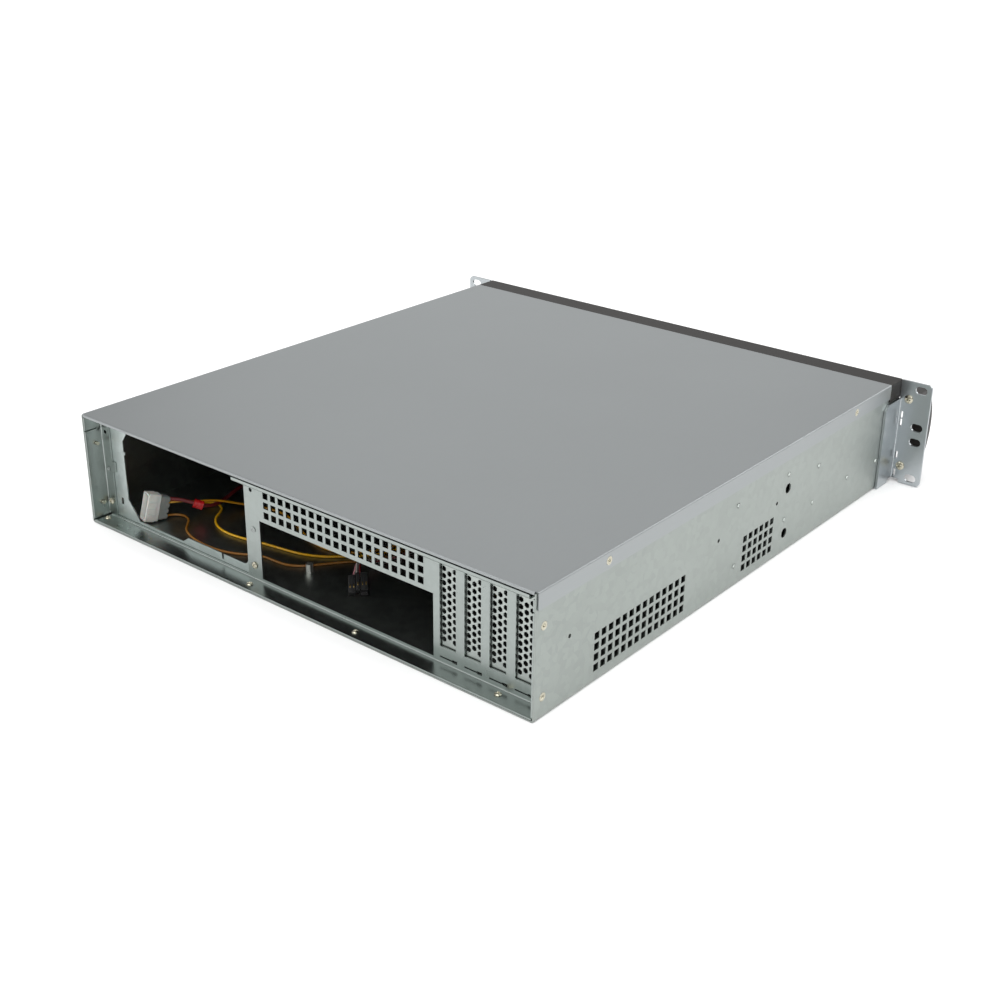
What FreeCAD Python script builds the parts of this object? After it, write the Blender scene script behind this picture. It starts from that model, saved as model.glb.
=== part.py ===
"""Empty 2U rackmount server case: folded steel shell, rack ears, front fans and inner leads.

X runs across the case, the front faces -Y and the rear +Y, and Z is up. The origin is the centre
of the overall footprint, on the underside. Depths are measured forward from the rear edge.
"""
import FreeCAD, Part
import math
import os

os.makedirs("parts", exist_ok=True)
V = FreeCAD.Vector

# ---------------------------------------------------------------- driving sizes, millimetres
BODY_WIDTH = 430.0
BODY_HEIGHT = 88.0
COVER_DEPTH = 457.0
FRONT_DEPTH = 477.0
HANDLE_REACH = 34.0

SHEET = 1.0
COVER_SHEET = 0.8
EAR_SHEET = 2.0
PLATE_SHEET = 0.9
BEND = 0.8
COVER_BEND = 0.5
FIT = 0.2
CLEARANCE = 0.3
OVER = 1.0
CUT_LENGTH = 8.0

# rack ears
EAR_SPAN = 482.6
RACK_HOLE_SPAN = 465.1
RACK_HOLE_OUTER = 76.2
RACK_HOLE_INNER = 12.7
RACK_SLOT_LENGTH = 10.0
RACK_SLOT_WIDTH = 6.4
EAR_FLANGE_LENGTH = 27.0
EAR_FLANGE_TOP = 72.0
EAR_CORNER = 4.0
EAR_TAB_SLOT = (2.0, 6.0)
EAR_TAB_SETBACK = 0.6
EAR_RELIEF = (9.0, 6.0, 3.0)
EAR_CUT_CORNER = (6.0, 5.0)
EAR_TAB_HEIGHTS = (8.0, 23.5, 52.0, 58.5)

# bow handles
HANDLE_X = 223.0
HANDLE_WIDTH = 15.0
HANDLE_LOW = 11.5
HANDLE_HIGH = 76.5
HANDLE_LEG = 7.0
HANDLE_SHOULDER = 24.0
HANDLE_EDGE = 1.6
HANDLE_CORNER = 5.0
HANDLE_DRILL = 16.0

# rear panel
PANEL_DEPTH = 14.5
LEDGE_HEIGHT = 81.8
LIP_TOP = 85.0
LIP_RIGHT = 48.0
LIP_LEFT = -209.0
SIDE_SLIT_HEIGHT = 74.5
SIDE_SLIT_HALF = 0.5
SIDE_SLIT_HOLE = 1.5
RIVET_TAB = (3.5, 1.0, 7.0)
IO_WINDOW = (-121.8, 38.6, 4.6, 49.6)
PSU_WINDOW = (53.0, 203.0, 3.6)
VENT_SQUARE = 5.0
VENT_PITCH = 7.5
PANEL_VENT_START = (31.1, 55.5)
PANEL_VENT_COUNT = (20, 3)

# expansion slots
SLOT_COUNT = 4
SLOT_PITCH = 20.32
SLOT_CENTRE = -133.9
SLOT_WIDTH = 13.4
SLOT_BOTTOM = 13.9
COVER_WIDTH = 18.4
COVER_SETBACK = 1.7
COVER_HOLE = 4.0
COVER_HOLE_SIDES = 6
COVER_HOLE_PITCH = 5.0
COVER_COLUMN_PITCH = 4.4
COVER_HOLE_ROWS = 11
COVER_HOLE_FIRST = 19.0
COVER_FOOT = (10.0, 4.0, 8.0)
COVER_SHOULDER = 10.0
COVER_TAB_END = 2.0
SLOT_SCREW_DEPTH = 8.0
TONGUE_SLIT_HEIGHT = 6.4
TONGUE_SLIT_HALF = 0.5
TONGUE_EYE = (3.0, 1.1)

# vents in the wall at -X: first depth, first height, columns, rows
SIDE_VENTS = ((62.5, 10.3, 14, 4), (240.0, 10.3, 6, 4))
WALL_HOLES = ((34.0, 45.0, 1.5), (203.0, 45.0, 1.5), (283.0, 45.0, 1.5), (298.0, 52.0, 4.0),
              (298.0, 16.0, 4.0))
WALL_RIVETS = ((227.0, 63.0), (227.5, 16.0), (298.0, 63.0), (297.0, 27.0), (345.0, 54.5),
               (340.0, 26.0), (396.0, 28.0), (446.0, 26.0))
WALL_SCREWS = ((8.5, 63.0), (8.5, 14.5))
COVER_SCREWS = ((71.0, 81.5), (398.0, 82.0))
COVER_FLANGE = 12.0
COVER_HEM = 2.7
COVER_HEM_LEAF = 5.0
WALL_LIP = 10.0
WALL_LIP_DEPTHS = (20.0, 450.0)

# power supply plate
PSU_OPENING = ((54.2, 9.9, 5.0), (120.0, 9.9, 0.0), (126.0, 5.7, 1.5), (176.5, 5.7, 0.0),
               (188.6, 20.5, 0.0), (188.9, 68.0, 0.0), (184.0, 74.5, 0.0))
PSU_NOTCH = (82.0, 2.0)
PSU_SIDE_SLOT = (196.0, 14.5, 2.5, 5.5)
PSU_NUB = (57.0, 59.2, 1.6)
PSU_PLATE_TOP = 86.0
PSU_PLATE_RIGHT = 40.0
PLATE_SCREWS = ((208.2, 14.0), (46.0, 13.0))
PLATE_RIVETS = ((208.0, 41.0), (45.5, 41.0))
PLATE_HOLES = ((207.5, 71.0), (46.0, 71.0))
LEDGE_SCREWS = ((206.7, 8.2), (43.2, 6.2), (-60.0, 6.2), (-179.8, 8.6))

# board standoffs, to the usual board pattern
BOARD_REAR_DEPTH = 15.5
BOARD_LEFT_COLUMN = 27.5
BOARD_COLUMNS = (0.0, 157.48, 203.2)
BOARD_ROWS = (10.16, 165.1, 237.49)
BOARD_CORNER_ROW = 33.02
STANDOFF_HEIGHT = 6.35
STANDOFF_FLATS = 5.0
STANDOFF_THREAD = 3.0
BOARD_HOLE = 3.6

# drive bays on the left of the front, seen from the front
BAY_CENTRE = -128.0
BAY_WIDTH = 148.4
BAY_HEIGHT = 40.2
BAY_BOTTOMS = (3.0, 44.8)
BAY_COVER_PLATE = 2.4
BAY_COVER_RIM = 12.0
BAY_COVER_PROUD = 0.6
BAY_RIM_WALL = 1.6
BAY_SIDE_RIM_END = 8.0
BAY_LONG_RIM_END = 20.0
BAY_GROOVE = (6.0, 5.0, 1.0, 0.5)
CAGE_LENGTH = 178.0
CAGE_SLOT = (3.5, 20.0)
CAGE_SLOT_HEIGHT = 10.0
CAGE_SLOT_STARTS = (52.0, 132.0)
CAGE_WINDOW = (50.0, 35.0, 30.0, 120.0)
CAGE_SCREW_STARTS = (15.0, 145.0)
CAGE_SCREW_INSET = 10.0

# front fans
FAN_CENTRES = (45.0, 150.0)
FAN_SIZE = 80.0
FAN_THICKNESS = 25.0
FAN_HEIGHT = 44.0
FAN_BORE = 76.0
FAN_BORE_SIDES = 24
FAN_HOLE_SPACING = 71.5
FAN_CORNER = 3.0
FAN_HUB = 36.0
MOTOR_SIDES = 12
FAN_BLADES = 7
FAN_BLADE_TIP = 73.4
BLADE_PITCH = 36.0
BLADE_ROOT = (15.0, 0.0)
BLADE_TIP = (21.0, 3.0)
FAN_BLADE_THICKNESS = 1.3
FAN_SHAFT = 3.0
SHAFT_CLEARANCE = 0.05
HUB_RECESS = 2.0
HUB_FRONT_WALL = 3.6
MOTOR_PLATE = 3.0
SPOKE_ANGLES = (40.0, 140.0, 220.0, 320.0)
SPOKE_WIDTH = 4.0
SPOKE_ROOTS = (2.0, 0.5)
GRILLE_COLUMNS = 7
GRILLE_SLOT = 7.0
GRILLE_PITCH = 10.0
GRILLE_RADIUS = 37.0
GRILLE_BRIDGE = 3.0

# front controls
CONTROL_X = -32.0
POWER_BUTTON = (8.4, 66.0)
RESET_BUTTON = (4.4, 52.0)
BUTTON_TRAVEL = 1.2
BUTTON_PROUD = 1.4
BUTTON_COLLAR = (0.9, 1.0)
BUTTON_STEM = 1.4
SWITCH_SIZE = (6.0, 4.3)
LIGHT_DIAMETER = 3.0
LIGHT_SPACING = 9.0
LIGHT_HEIGHT = 78.0
LIGHT_SIDES = 12
LIGHT_PROUD = 0.5
PORT_SIZE = (5.6, 13.4)
PORT_SPACING = 12.0
PORT_HEIGHT = 24.0
PORT_PROUD = 0.3
PORT_WALL = 0.4
PORT_BACK_WALL = 1.5
PORT_TONGUE = (0.2, 2.0, 0.8, 1.4)
CONTROL_BOARD = (29.0, 12.0, 83.0, 1.6)
CONTROL_BOARD_DEPTH = 466.0
BOARD_SOCKET = (16.0, 6.0, 1.0, 6.0)
POST_HEIGHT = 42.0
POST_SPACING = 20.0
POST_RADIUS = 2.6

# inner leads and connectors
LEAD_SIDES = 4
LEAD_PAIR = 3.0
LEAD_SINGLE = 1.8
RIBBON = 4.0
BEND_SHARE = 0.45
PLUG_ORIGIN = (179.5, 21.5)
PLUG_TURN = -132.0
PLUG_BODY = (14.0, 10.0, 23.6)
SOCKET_BODY = (10.0, 7.6, 21.6)
CONTACT_PITCH = 5.08
CONTACT_COUNT = 4
CAVITY_RADIUS = 1.8
CAVITY_FLOOR = 3.0
PLUG_EDGE = 1.0
SOCKET_LATCH = (1.0, 6.0, 1.2, 6.0)
CRIMP_LENGTH = 9.0
CRIMP_DIAMETER = 5.0
HEADER_ORIGIN = (-11.5, 59.0)
HEADER_TURN = 138.7
HEADER_UPPER = 5.3
HEADER_BODIES = ((0.0, 0.0, 15.0, 5.2, 5.2), (0.4, 5.6, 14.0, 2.6, 5.2), (-0.6, -5.6, 14.0, 5.0, 2.8),
                 (1.0, 0.6, 13.0, 4.8, 2.6))

# fasteners
CONE_SIDES = 8
SHANK_SIDES = 6
M3_SHANK = 2.8
M3_FLAT_HEAD = 5.8
M3_FLAT_HEIGHT = 1.5
M3_PAN_HEAD = 5.4
M3_PAN_HEIGHT = 1.8
M3_LENGTH = 5.0
FLOOR_SCREW = (5.0, 1.6, 2.0)
HANDLE_SCREW = (7.4, 2.0, 10.0)
RIVET_HEAD = 4.4
RIVET_HEIGHT = 0.7
RIVET_GRIP = 2.4
HOLE_PLAY = 0.3

# ---------------------------------------------------------------- sizes that follow
REAR_Y = (FRONT_DEPTH + HANDLE_REACH) / 2
FRONT_Y = REAR_Y - FRONT_DEPTH
WALL_OUT = BODY_WIDTH / 2 - COVER_SHEET - FIT
WALL_IN = WALL_OUT - SHEET
TRAY_TOP = BODY_HEIGHT - COVER_SHEET - FIT
FLOOR = SHEET
PANEL_FLOOR = FLOOR + FIT + SHEET
PANEL_SIDE = WALL_IN - FIT
PANEL_BOTTOM_SIDE = WALL_IN - BEND - FIT
PANEL_INNER_DEPTH = PANEL_DEPTH + SHEET
FACE_INNER_DEPTH = FRONT_DEPTH - SHEET
COVER_INNER = BODY_HEIGHT - COVER_SHEET
EAR_BACK_DEPTH = FRONT_DEPTH - EAR_SHEET
MID_HEIGHT = BODY_HEIGHT / 2
FAN_FRONT_DEPTH = FACE_INNER_DEPTH - FIT
FAN_BACK_DEPTH = FAN_FRONT_DEPTH - FAN_THICKNESS


def y_at(depth):
    """Row position of a depth measured forward from the rear edge."""
    return REAR_Y - depth


# ---------------------------------------------------------------- drawing helpers
def on_xz(y):
    return lambda a, b: V(a, y, b)


def on_yz(x):
    return lambda a, b: V(x, a, b)


def on_xy(z):
    return lambda a, b: V(a, b, z)


def outline(corners, place):
    """Closed wire through (a, b, radius) corners, each rounded by its own radius."""
    edges = []
    starts = []
    ends = []
    count = len(corners)
    for i in range(count):
        before = V(*corners[i - 1][:2], 0)
        corner = V(*corners[i][:2], 0)
        after = V(*corners[(i + 1) % count][:2], 0)
        radius = corners[i][2]
        to_before = (before - corner).normalize()
        to_after = (after - corner).normalize()
        half = to_before.getAngle(to_after) / 2
        if radius <= 0 or half > math.radians(89.9):
            starts.append(corner)
            ends.append(corner)
            continue
        reach = radius / math.tan(half)
        first = corner + to_before * reach
        last = corner + to_after * reach
        middle_line = (to_before + to_after).normalize()
        middle = corner + middle_line * (radius / math.sin(half) - radius)
        starts.append(first)
        ends.append(last)
        edges.append(Part.Arc(place(first.x, first.y), place(middle.x, middle.y),
                              place(last.x, last.y)).toShape())
    for i in range(count):
        a = ends[i - 1]
        b = starts[i]
        if a.distanceToPoint(b) > 1e-6:
            edges.append(Part.makeLine(place(a.x, a.y), place(b.x, b.y)))
    return Part.Wire(Part.__sortEdges__(edges))


def plate(corners, place, along, holes=()):
    """Flat plate of an outline and hole wires, pushed along a vector."""
    face = Part.Face(outline(corners, place))
    if holes:
        face = Part.Face([outline(corners, place)] + list(holes))
        face.validate()
    return face.extrude(along)


def square(a0, a1, b0, b1, radius=0.0):
    return [(a0, b0, radius), (a1, b0, radius), (a1, b1, radius), (a0, b1, radius)]


def folded(points, thickness, bend, place, along):
    """Folded sheet: the line of points is its right-hand skin, and the metal lies to the left."""
    skin = [V(a, b, 0) for a, b in points]
    runs = [(skin[i + 1] - skin[i]).normalize() for i in range(len(skin) - 1)]
    normals = [V(-run.y, run.x, 0) for run in runs]
    near = [(skin[0].x, skin[0].y, 0.0)]
    far = [(skin[0] + normals[0] * thickness)]
    far = [(far[0].x, far[0].y, 0.0)]
    for i in range(1, len(skin) - 1):
        before = normals[i - 1]
        after = normals[i]
        shift = (before + after) * (thickness / (1 + before.dot(after)))
        left_turn = runs[i - 1].cross(runs[i]).z > 0
        near_radius = bend + thickness if left_turn else bend
        far_radius = bend if left_turn else bend + thickness
        inner = skin[i] + shift
        near.append((skin[i].x, skin[i].y, near_radius))
        far.append((inner.x, inner.y, far_radius))
    last = skin[-1] + normals[-1] * thickness
    near.append((skin[-1].x, skin[-1].y, 0.0))
    far.append((last.x, last.y, 0.0))
    return plate(near + far[::-1], place, along)


def block(x0, x1, y0, y1, z0, z1):
    return Part.makeBox(abs(x1 - x0), abs(y1 - y0), abs(z1 - z0), V(min(x0, x1), min(y0, y1), min(z0, z1)))


def slab(x0, x1, depth0, depth1, z0, z1):
    """Box between two depths."""
    return block(x0, x1, y_at(depth1), y_at(depth0), z0, z1)


def turned(shape, axis, place):
    """A shape drawn along +Z, turned to an axis and moved to its place."""
    shape.Placement = FreeCAD.Placement(place, FreeCAD.Rotation(V(0, 0, 1), axis))
    return shape


def polygon(radius, sides, z=0.0):
    ring = ring_points(radius, sides, z)
    return Part.makePolygon(ring + ring[:1])


def prism(radius, length, sides=8, z=0.0):
    return Part.Face(polygon(radius, sides, z)).extrude(V(0, 0, length))


def ring_points(radius, sides, z=0.0):
    step = 2 * math.pi / sides
    return [V(radius * math.cos(step * (i + 0.5)), radius * math.sin(step * (i + 0.5)), z) for i in range(sides)]


def tapered(low, high):
    """Flat-sided solid between two outlines that have as many corners and parallel sides."""
    count = len(low)
    faces = [Part.Face(Part.makePolygon(low + low[:1])), Part.Face(Part.makePolygon(high + high[:1]))]
    for i in range(count):
        j = (i + 1) % count
        faces.append(Part.Face(Part.makePolygon([low[i], low[j], high[j], high[i], low[i]])))
    solid = Part.makeSolid(Part.makeShell(faces))
    if solid.Volume < 0:
        solid.reverse()
    return solid


def joined(shapes):
    first = shapes[0]
    return first.fuse(shapes[1:]).removeSplitter() if len(shapes) > 1 else first


def mirrored(shape):
    return shape.mirror(V(0, 0, 0), V(1, 0, 0))


def group(shapes):
    return Part.makeCompound(shapes)


def save(shape, node):
    shape.exportStep("parts/" + node + ".step")


# ---------------------------------------------------------------- fasteners, drawn along +Z
def flat_screw(head, height, shank, length):
    """Countersunk screw: the head's face is at z = 0."""
    cone = tapered(ring_points(shank / 2, CONE_SIDES, -height), ring_points(head / 2, CONE_SIDES))
    shaft = prism(shank / 2, length - height, CONE_SIDES, -length)
    return cone.fuse(shaft).removeSplitter()


def low_dome(head, height):
    """Low head with sloping flanks on the plane z = 0."""
    top = ring_points(head / 2 - height / 2, SHANK_SIDES, height)
    return tapered(ring_points(head / 2, SHANK_SIDES), top)


def pan_screw(head, height, shank, length):
    """Pan head screw: the underside of its head is at z = 0."""
    return low_dome(head, height).fuse(prism(shank / 2, length, SHANK_SIDES, -length)).removeSplitter()


def placed_all(make, places):
    """One solid for each (x, y, z, axis), all from the same maker."""
    return [turned(make(), V(*axis), V(x, y, z)) for x, y, z, axis in places]


def m3_hole(x, y, z, axis, length):
    """Clearance hole for an M3 shank, as a cutter centred on its place."""
    return turned(prism(M3_SHANK / 2 + HOLE_PLAY, length, SHANK_SIDES, -length / 2), V(*axis), V(x, y, z))


def countersink(x, y, z, axis, length):
    """Cutter for a flat head flush at its place, with the shank's clearance hole behind it."""
    top = M3_FLAT_HEAD / 2 + HOLE_PLAY
    low = M3_SHANK / 2 + HOLE_PLAY
    cone = tapered(ring_points(low, CONE_SIDES, -M3_FLAT_HEIGHT - FIT), ring_points(top + FIT, CONE_SIDES, FIT))
    return turned(cone.fuse(prism(low, length, CONE_SIDES, -length)), V(*axis), V(x, y, z))


def small_flat_screw():
    return flat_screw(M3_FLAT_HEAD, M3_FLAT_HEIGHT, M3_SHANK, M3_LENGTH)


def small_pan_screw():
    return pan_screw(M3_PAN_HEAD, M3_PAN_HEIGHT, M3_SHANK, M3_LENGTH)


def floor_screw():
    head, height, length = FLOOR_SCREW
    return pan_screw(head, height, M3_SHANK, length)


def handle_screw():
    head, height, length = HANDLE_SCREW
    return pan_screw(head, height, M3_SHANK, length)


def rivet():
    return pan_screw(RIVET_HEAD, RIVET_HEIGHT, M3_SHANK, RIVET_GRIP)


def rivet_head():
    """Upset head of a rivet, on the plane z = 0."""
    return low_dome(RIVET_HEAD, RIVET_HEIGHT)


def both_sides(x, depth, z):
    return [(x, y_at(depth), z, (1, 0, 0)), (-x, y_at(depth), z, (-1, 0, 0))]


cover_screw_places = [p for d, z in COVER_SCREWS for p in both_sides(BODY_WIDTH / 2, d, z)]
wall_screw_places = [p for d, z in WALL_SCREWS for p in both_sides(WALL_OUT, d, z)]
wall_rivet_places = [p for d, z in WALL_RIVETS for p in both_sides(WALL_OUT, d, z)]
plate_screw_places = [(x, y_at(PANEL_DEPTH), z, (0, 1, 0)) for x, z in PLATE_SCREWS]
plate_rivet_places = [(x, y_at(PANEL_DEPTH), z, (0, 1, 0)) for x, z in PLATE_RIVETS]
ledge_screw_places = [(x, y_at(d), PANEL_FLOOR, (0, 0, 1)) for x, d in LEDGE_SCREWS]


# ---------------------------------------------------------------- base tray
def base_tray():
    wall_line = [(-WALL_OUT, TRAY_TOP), (-WALL_OUT, 0), (WALL_OUT, 0), (WALL_OUT, TRAY_TOP)]
    lip_line = [(-WALL_OUT + WALL_LIP, TRAY_TOP)] + wall_line + [(WALL_OUT - WALL_LIP, TRAY_TOP)]
    lip_start, lip_end = WALL_LIP_DEPTHS
    wall_end = FACE_INNER_DEPTH - FIT
    runs = [(wall_line, 0.0, lip_start), (lip_line, lip_start, lip_end), (wall_line, lip_end, wall_end)]
    lengths = [folded(line, SHEET, BEND, on_xz(y_at(end)), V(0, end - start, 0))
               for line, start, end in runs]
    tray = joined(lengths)
    far_side = WALL_OUT + OVER
    cutters = [slab(-far_side, far_side, COVER_DEPTH, FRONT_DEPTH, -OVER, FLOOR + BEND + FIT)]
    half = VENT_SQUARE / 2
    for depth, height, columns, rows in SIDE_VENTS:
        for i in range(columns):
            for j in range(rows):
                d = depth + i * VENT_PITCH
                z = height + j * VENT_PITCH
                cutters.append(slab(-far_side, -WALL_IN + OVER, d - half, d + half, z - half, z + half))
    for depth, height, radius in WALL_HOLES:
        drill = prism(radius, 3 * SHEET, CONE_SIDES)
        cutters.append(turned(drill, V(1, 0, 0), V(-WALL_OUT - SHEET, y_at(depth), height)))
    for place in cover_screw_places + wall_screw_places:
        cutters.append(countersink(*place, CUT_LENGTH))
    for x, y, z, axis in ledge_screw_places + cage_screw_places():
        cutters.append(m3_hole(x, y, FLOOR / 2, axis, 3 * SHEET))
    for x, y in board_points():
        drill = prism(BOARD_HOLE / 2, 3 * SHEET, SHANK_SIDES)
        cutters.append(turned(drill, V(0, 0, 1), V(x, y, -SHEET)))
    # rivet heads, upset flush on the inside
    rivets = placed_all(rivet_head, wall_rivet_places)
    return joined([tray.cut(cutters)] + rivets)


# ---------------------------------------------------------------- board standoffs
def board_points():
    """Hole centres of the board pattern; the corner by the port window sits further forward."""
    rear_y = y_at(BOARD_REAR_DEPTH)
    points = []
    for column in BOARD_COLUMNS:
        for row in BOARD_ROWS:
            corner = column == BOARD_COLUMNS[0] and row == BOARD_ROWS[0]
            points.append((BOARD_LEFT_COLUMN - column, rear_y - (BOARD_CORNER_ROW if corner else row)))
    return points


def standoffs():
    made = []
    hex_radius = STANDOFF_FLATS / math.sqrt(3)
    for x, y in board_points():
        post = prism(hex_radius, STANDOFF_HEIGHT, 6)
        bore = Part.makeCylinder(STANDOFF_THREAD / 2, STANDOFF_HEIGHT + 2 * OVER, V(0, 0, -OVER))
        post = post.cut(bore)
        post.translate(V(x, y, FLOOR))
        made.append(post)
    return group(made)


# ---------------------------------------------------------------- rear panel
def rear_panel():
    rear = y_at(FIT)
    face = y_at(PANEL_DEPTH)
    line = [(rear, PANEL_FLOOR), (face, PANEL_FLOOR), (face, LEDGE_HEIGHT), (y_at(0), LEDGE_HEIGHT),
            (y_at(0), LIP_TOP)]
    corner = PANEL_SIDE - SHEET - 2 * BEND
    panel = folded(line, SHEET, BEND, on_yz(-corner), V(2 * corner, 0, 0))
    ledge_low = LEDGE_HEIGHT - BEND - FIT
    cut_depth = PANEL_DEPTH + SHEET + OVER
    trims = [slab(LIP_RIGHT, WALL_OUT, -OVER, cut_depth, ledge_low, BODY_HEIGHT),
             slab(LIP_LEFT, -WALL_OUT, -OVER, PANEL_DEPTH, ledge_low, BODY_HEIGHT)]
    panel = panel.cut(trims)
    # the face left of the lip runs up to the cover as a plain strip
    strip_top = PSU_PLATE_TOP - FIT
    sides = []
    for side in (1, -1):
        top = strip_top if side > 0 else LEDGE_HEIGHT + SHEET
        wing = [(side * PANEL_SIDE, rear), (side * PANEL_SIDE, y_at(PANEL_INNER_DEPTH)),
                (side * (corner - OVER), y_at(PANEL_INNER_DEPTH))]
        if side > 0:
            wing = wing[::-1]
        foot = PANEL_FLOOR + SHEET
        sides.append(folded(wing, SHEET, BEND, on_xy(foot), V(0, 0, top - foot)))
    bottom_ears = slab(-PANEL_BOTTOM_SIDE, PANEL_BOTTOM_SIDE, FIT, PANEL_DEPTH - BEND,
                       PANEL_FLOOR - SHEET, PANEL_FLOOR)
    post = slab(LIP_RIGHT - OVER, PSU_WINDOW[0], PANEL_DEPTH, PANEL_INNER_DEPTH, ledge_low - 2 * OVER, ledge_low)
    panel = joined([panel, bottom_ears, post] + sides)
    io_x0, io_x1, io_z0, io_z1 = IO_WINDOW
    psu_x0, psu_x1, psu_z0 = PSU_WINDOW
    face_side = PANEL_DEPTH - OVER
    cutters = [slab(io_x0, io_x1, face_side, cut_depth, io_z0, io_z1),
               slab(psu_x0, psu_x1, face_side - OVER, cut_depth, psu_z0, BODY_HEIGHT)]
    columns, rows = PANEL_VENT_COUNT
    half = VENT_SQUARE / 2
    for i in range(columns):
        for j in range(rows):
            x = PANEL_VENT_START[0] - i * VENT_PITCH
            z = PANEL_VENT_START[1] + j * VENT_PITCH
            cutters.append(slab(x - half, x + half, face_side, cut_depth, z - half, z + half))
    for i in range(SLOT_COUNT):
        x = SLOT_CENTRE - i * SLOT_PITCH
        left = x + SLOT_WIDTH / 2
        right = x - SLOT_WIDTH / 2
        eye_width, eye_half = TONGUE_EYE
        eye = right + eye_width
        low = TONGUE_SLIT_HEIGHT - TONGUE_SLIT_HALF
        high = TONGUE_SLIT_HEIGHT + TONGUE_SLIT_HALF
        cutters.append(slab(right, left, face_side, cut_depth, SLOT_BOTTOM, ledge_low))
        cutters.append(slab(eye, left, face_side, cut_depth, low, high))
        cutters.append(slab(right - OVER, eye, face_side, cut_depth, TONGUE_SLIT_HEIGHT - eye_half,
                            TONGUE_SLIT_HEIGHT + eye_half))
    for side in (1, -1):
        inner = side * (PANEL_SIDE - SHEET - FIT)
        outer = side * (PANEL_SIDE + FIT)
        slit_end = PANEL_DEPTH - SIDE_SLIT_HOLE
        cutters.append(slab(inner, outer, -OVER, slit_end, SIDE_SLIT_HEIGHT - SIDE_SLIT_HALF,
                            SIDE_SLIT_HEIGHT + SIDE_SLIT_HALF))
        hole = prism(SIDE_SLIT_HOLE, 2 * SHEET, CONE_SIDES)
        hole_place = V(side * (PANEL_SIDE - 1.5 * SHEET), y_at(PANEL_DEPTH - 2 * SHEET), SIDE_SLIT_HEIGHT)
        cutters.append(turned(hole, V(side, 0, 0), hole_place))
    for x, y, z, axis in plate_screw_places + plate_rivet_places:
        cutters.append(m3_hole(x, y, z, axis, 4 * SHEET))
    for place in wall_screw_places:
        cutters.append(countersink(*place, CUT_LENGTH))
    hem_room = COVER_HEM_LEAF + 3 * SHEET
    cutters.append(slab(PANEL_SIDE - 2 * SHEET, WALL_OUT, -OVER, hem_room, LIP_TOP, BODY_HEIGHT))
    for x, z in PLATE_HOLES:
        cutters.append(m3_hole(x, y_at(PANEL_DEPTH), z, (0, 1, 0), 4 * SHEET))
    for x, y, z, axis in ledge_screw_places:
        cutters.append(m3_hole(x, y, z, axis, 3 * SHEET))
    for x, y, z, axis in slot_screw_places():
        cutters.append(m3_hole(x, y, z, axis, 6 * SHEET))
    panel = panel.cut(cutters)
    # small tab that bridges to the power supply plate's rivet
    rivet_z = PLATE_RIVETS[0][1]
    reach, below, above = RIVET_TAB
    tab = slab(psu_x1 - reach, psu_x1 + OVER, PANEL_DEPTH, PANEL_INNER_DEPTH, rivet_z - below, rivet_z + above)
    return joined([panel, tab])


# ---------------------------------------------------------------- power supply plate
def psu_plate():
    depth = PANEL_INNER_DEPTH + FIT
    right = PSU_PLATE_RIGHT
    left = PANEL_SIDE - SHEET - FIT
    low = PANEL_FLOOR + 2 * BEND
    lip = LEDGE_HEIGHT - FIT
    corners = [(right, low, 0.0), (left, low, 0.0), (left, PSU_PLATE_TOP, 0.0),
               (PSU_OPENING[-1][0], PSU_PLATE_TOP, 0.0)]
    corners += PSU_OPENING[::-1]
    corners += [(PSU_OPENING[0][0], lip, 0.0), (right, lip, 0.0)]
    sheet = plate(corners, on_xz(y_at(depth + PLATE_SHEET)), V(0, PLATE_SHEET, 0))
    near = depth - OVER
    far = depth + 2 * OVER
    notch_x, notch_w = PSU_NOTCH
    cutters = [slab(notch_x - notch_w / 2, notch_x + notch_w / 2, near, far, PSU_OPENING[2][1],
                    PSU_OPENING[0][1] + OVER)]
    slot_x, slot_z, slot_w, slot_h = PSU_SIDE_SLOT
    cutters.append(slab(slot_x - slot_w / 2, slot_x + slot_w / 2, near, far, slot_z, slot_z + slot_h))
    for x, z in PLATE_SCREWS + PLATE_RIVETS + PLATE_HOLES:
        cutters.append(m3_hole(x, y_at(depth), z, (0, 1, 0), 4 * SHEET))
    nub_low, nub_high, nub_reach = PSU_NUB
    edge = PSU_OPENING[5][0]
    nub = slab(edge - nub_reach, edge + OVER, depth, depth + PLATE_SHEET, nub_low, nub_high)
    return joined([sheet.cut(cutters), nub])


# ---------------------------------------------------------------- slot covers
def slot_screw_places():
    z = LEDGE_HEIGHT + SHEET + FIT + PLATE_SHEET
    y = y_at(SLOT_SCREW_DEPTH)
    return [(SLOT_CENTRE - i * SLOT_PITCH, y, z, (0, 0, 1)) for i in range(SLOT_COUNT)]


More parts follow.
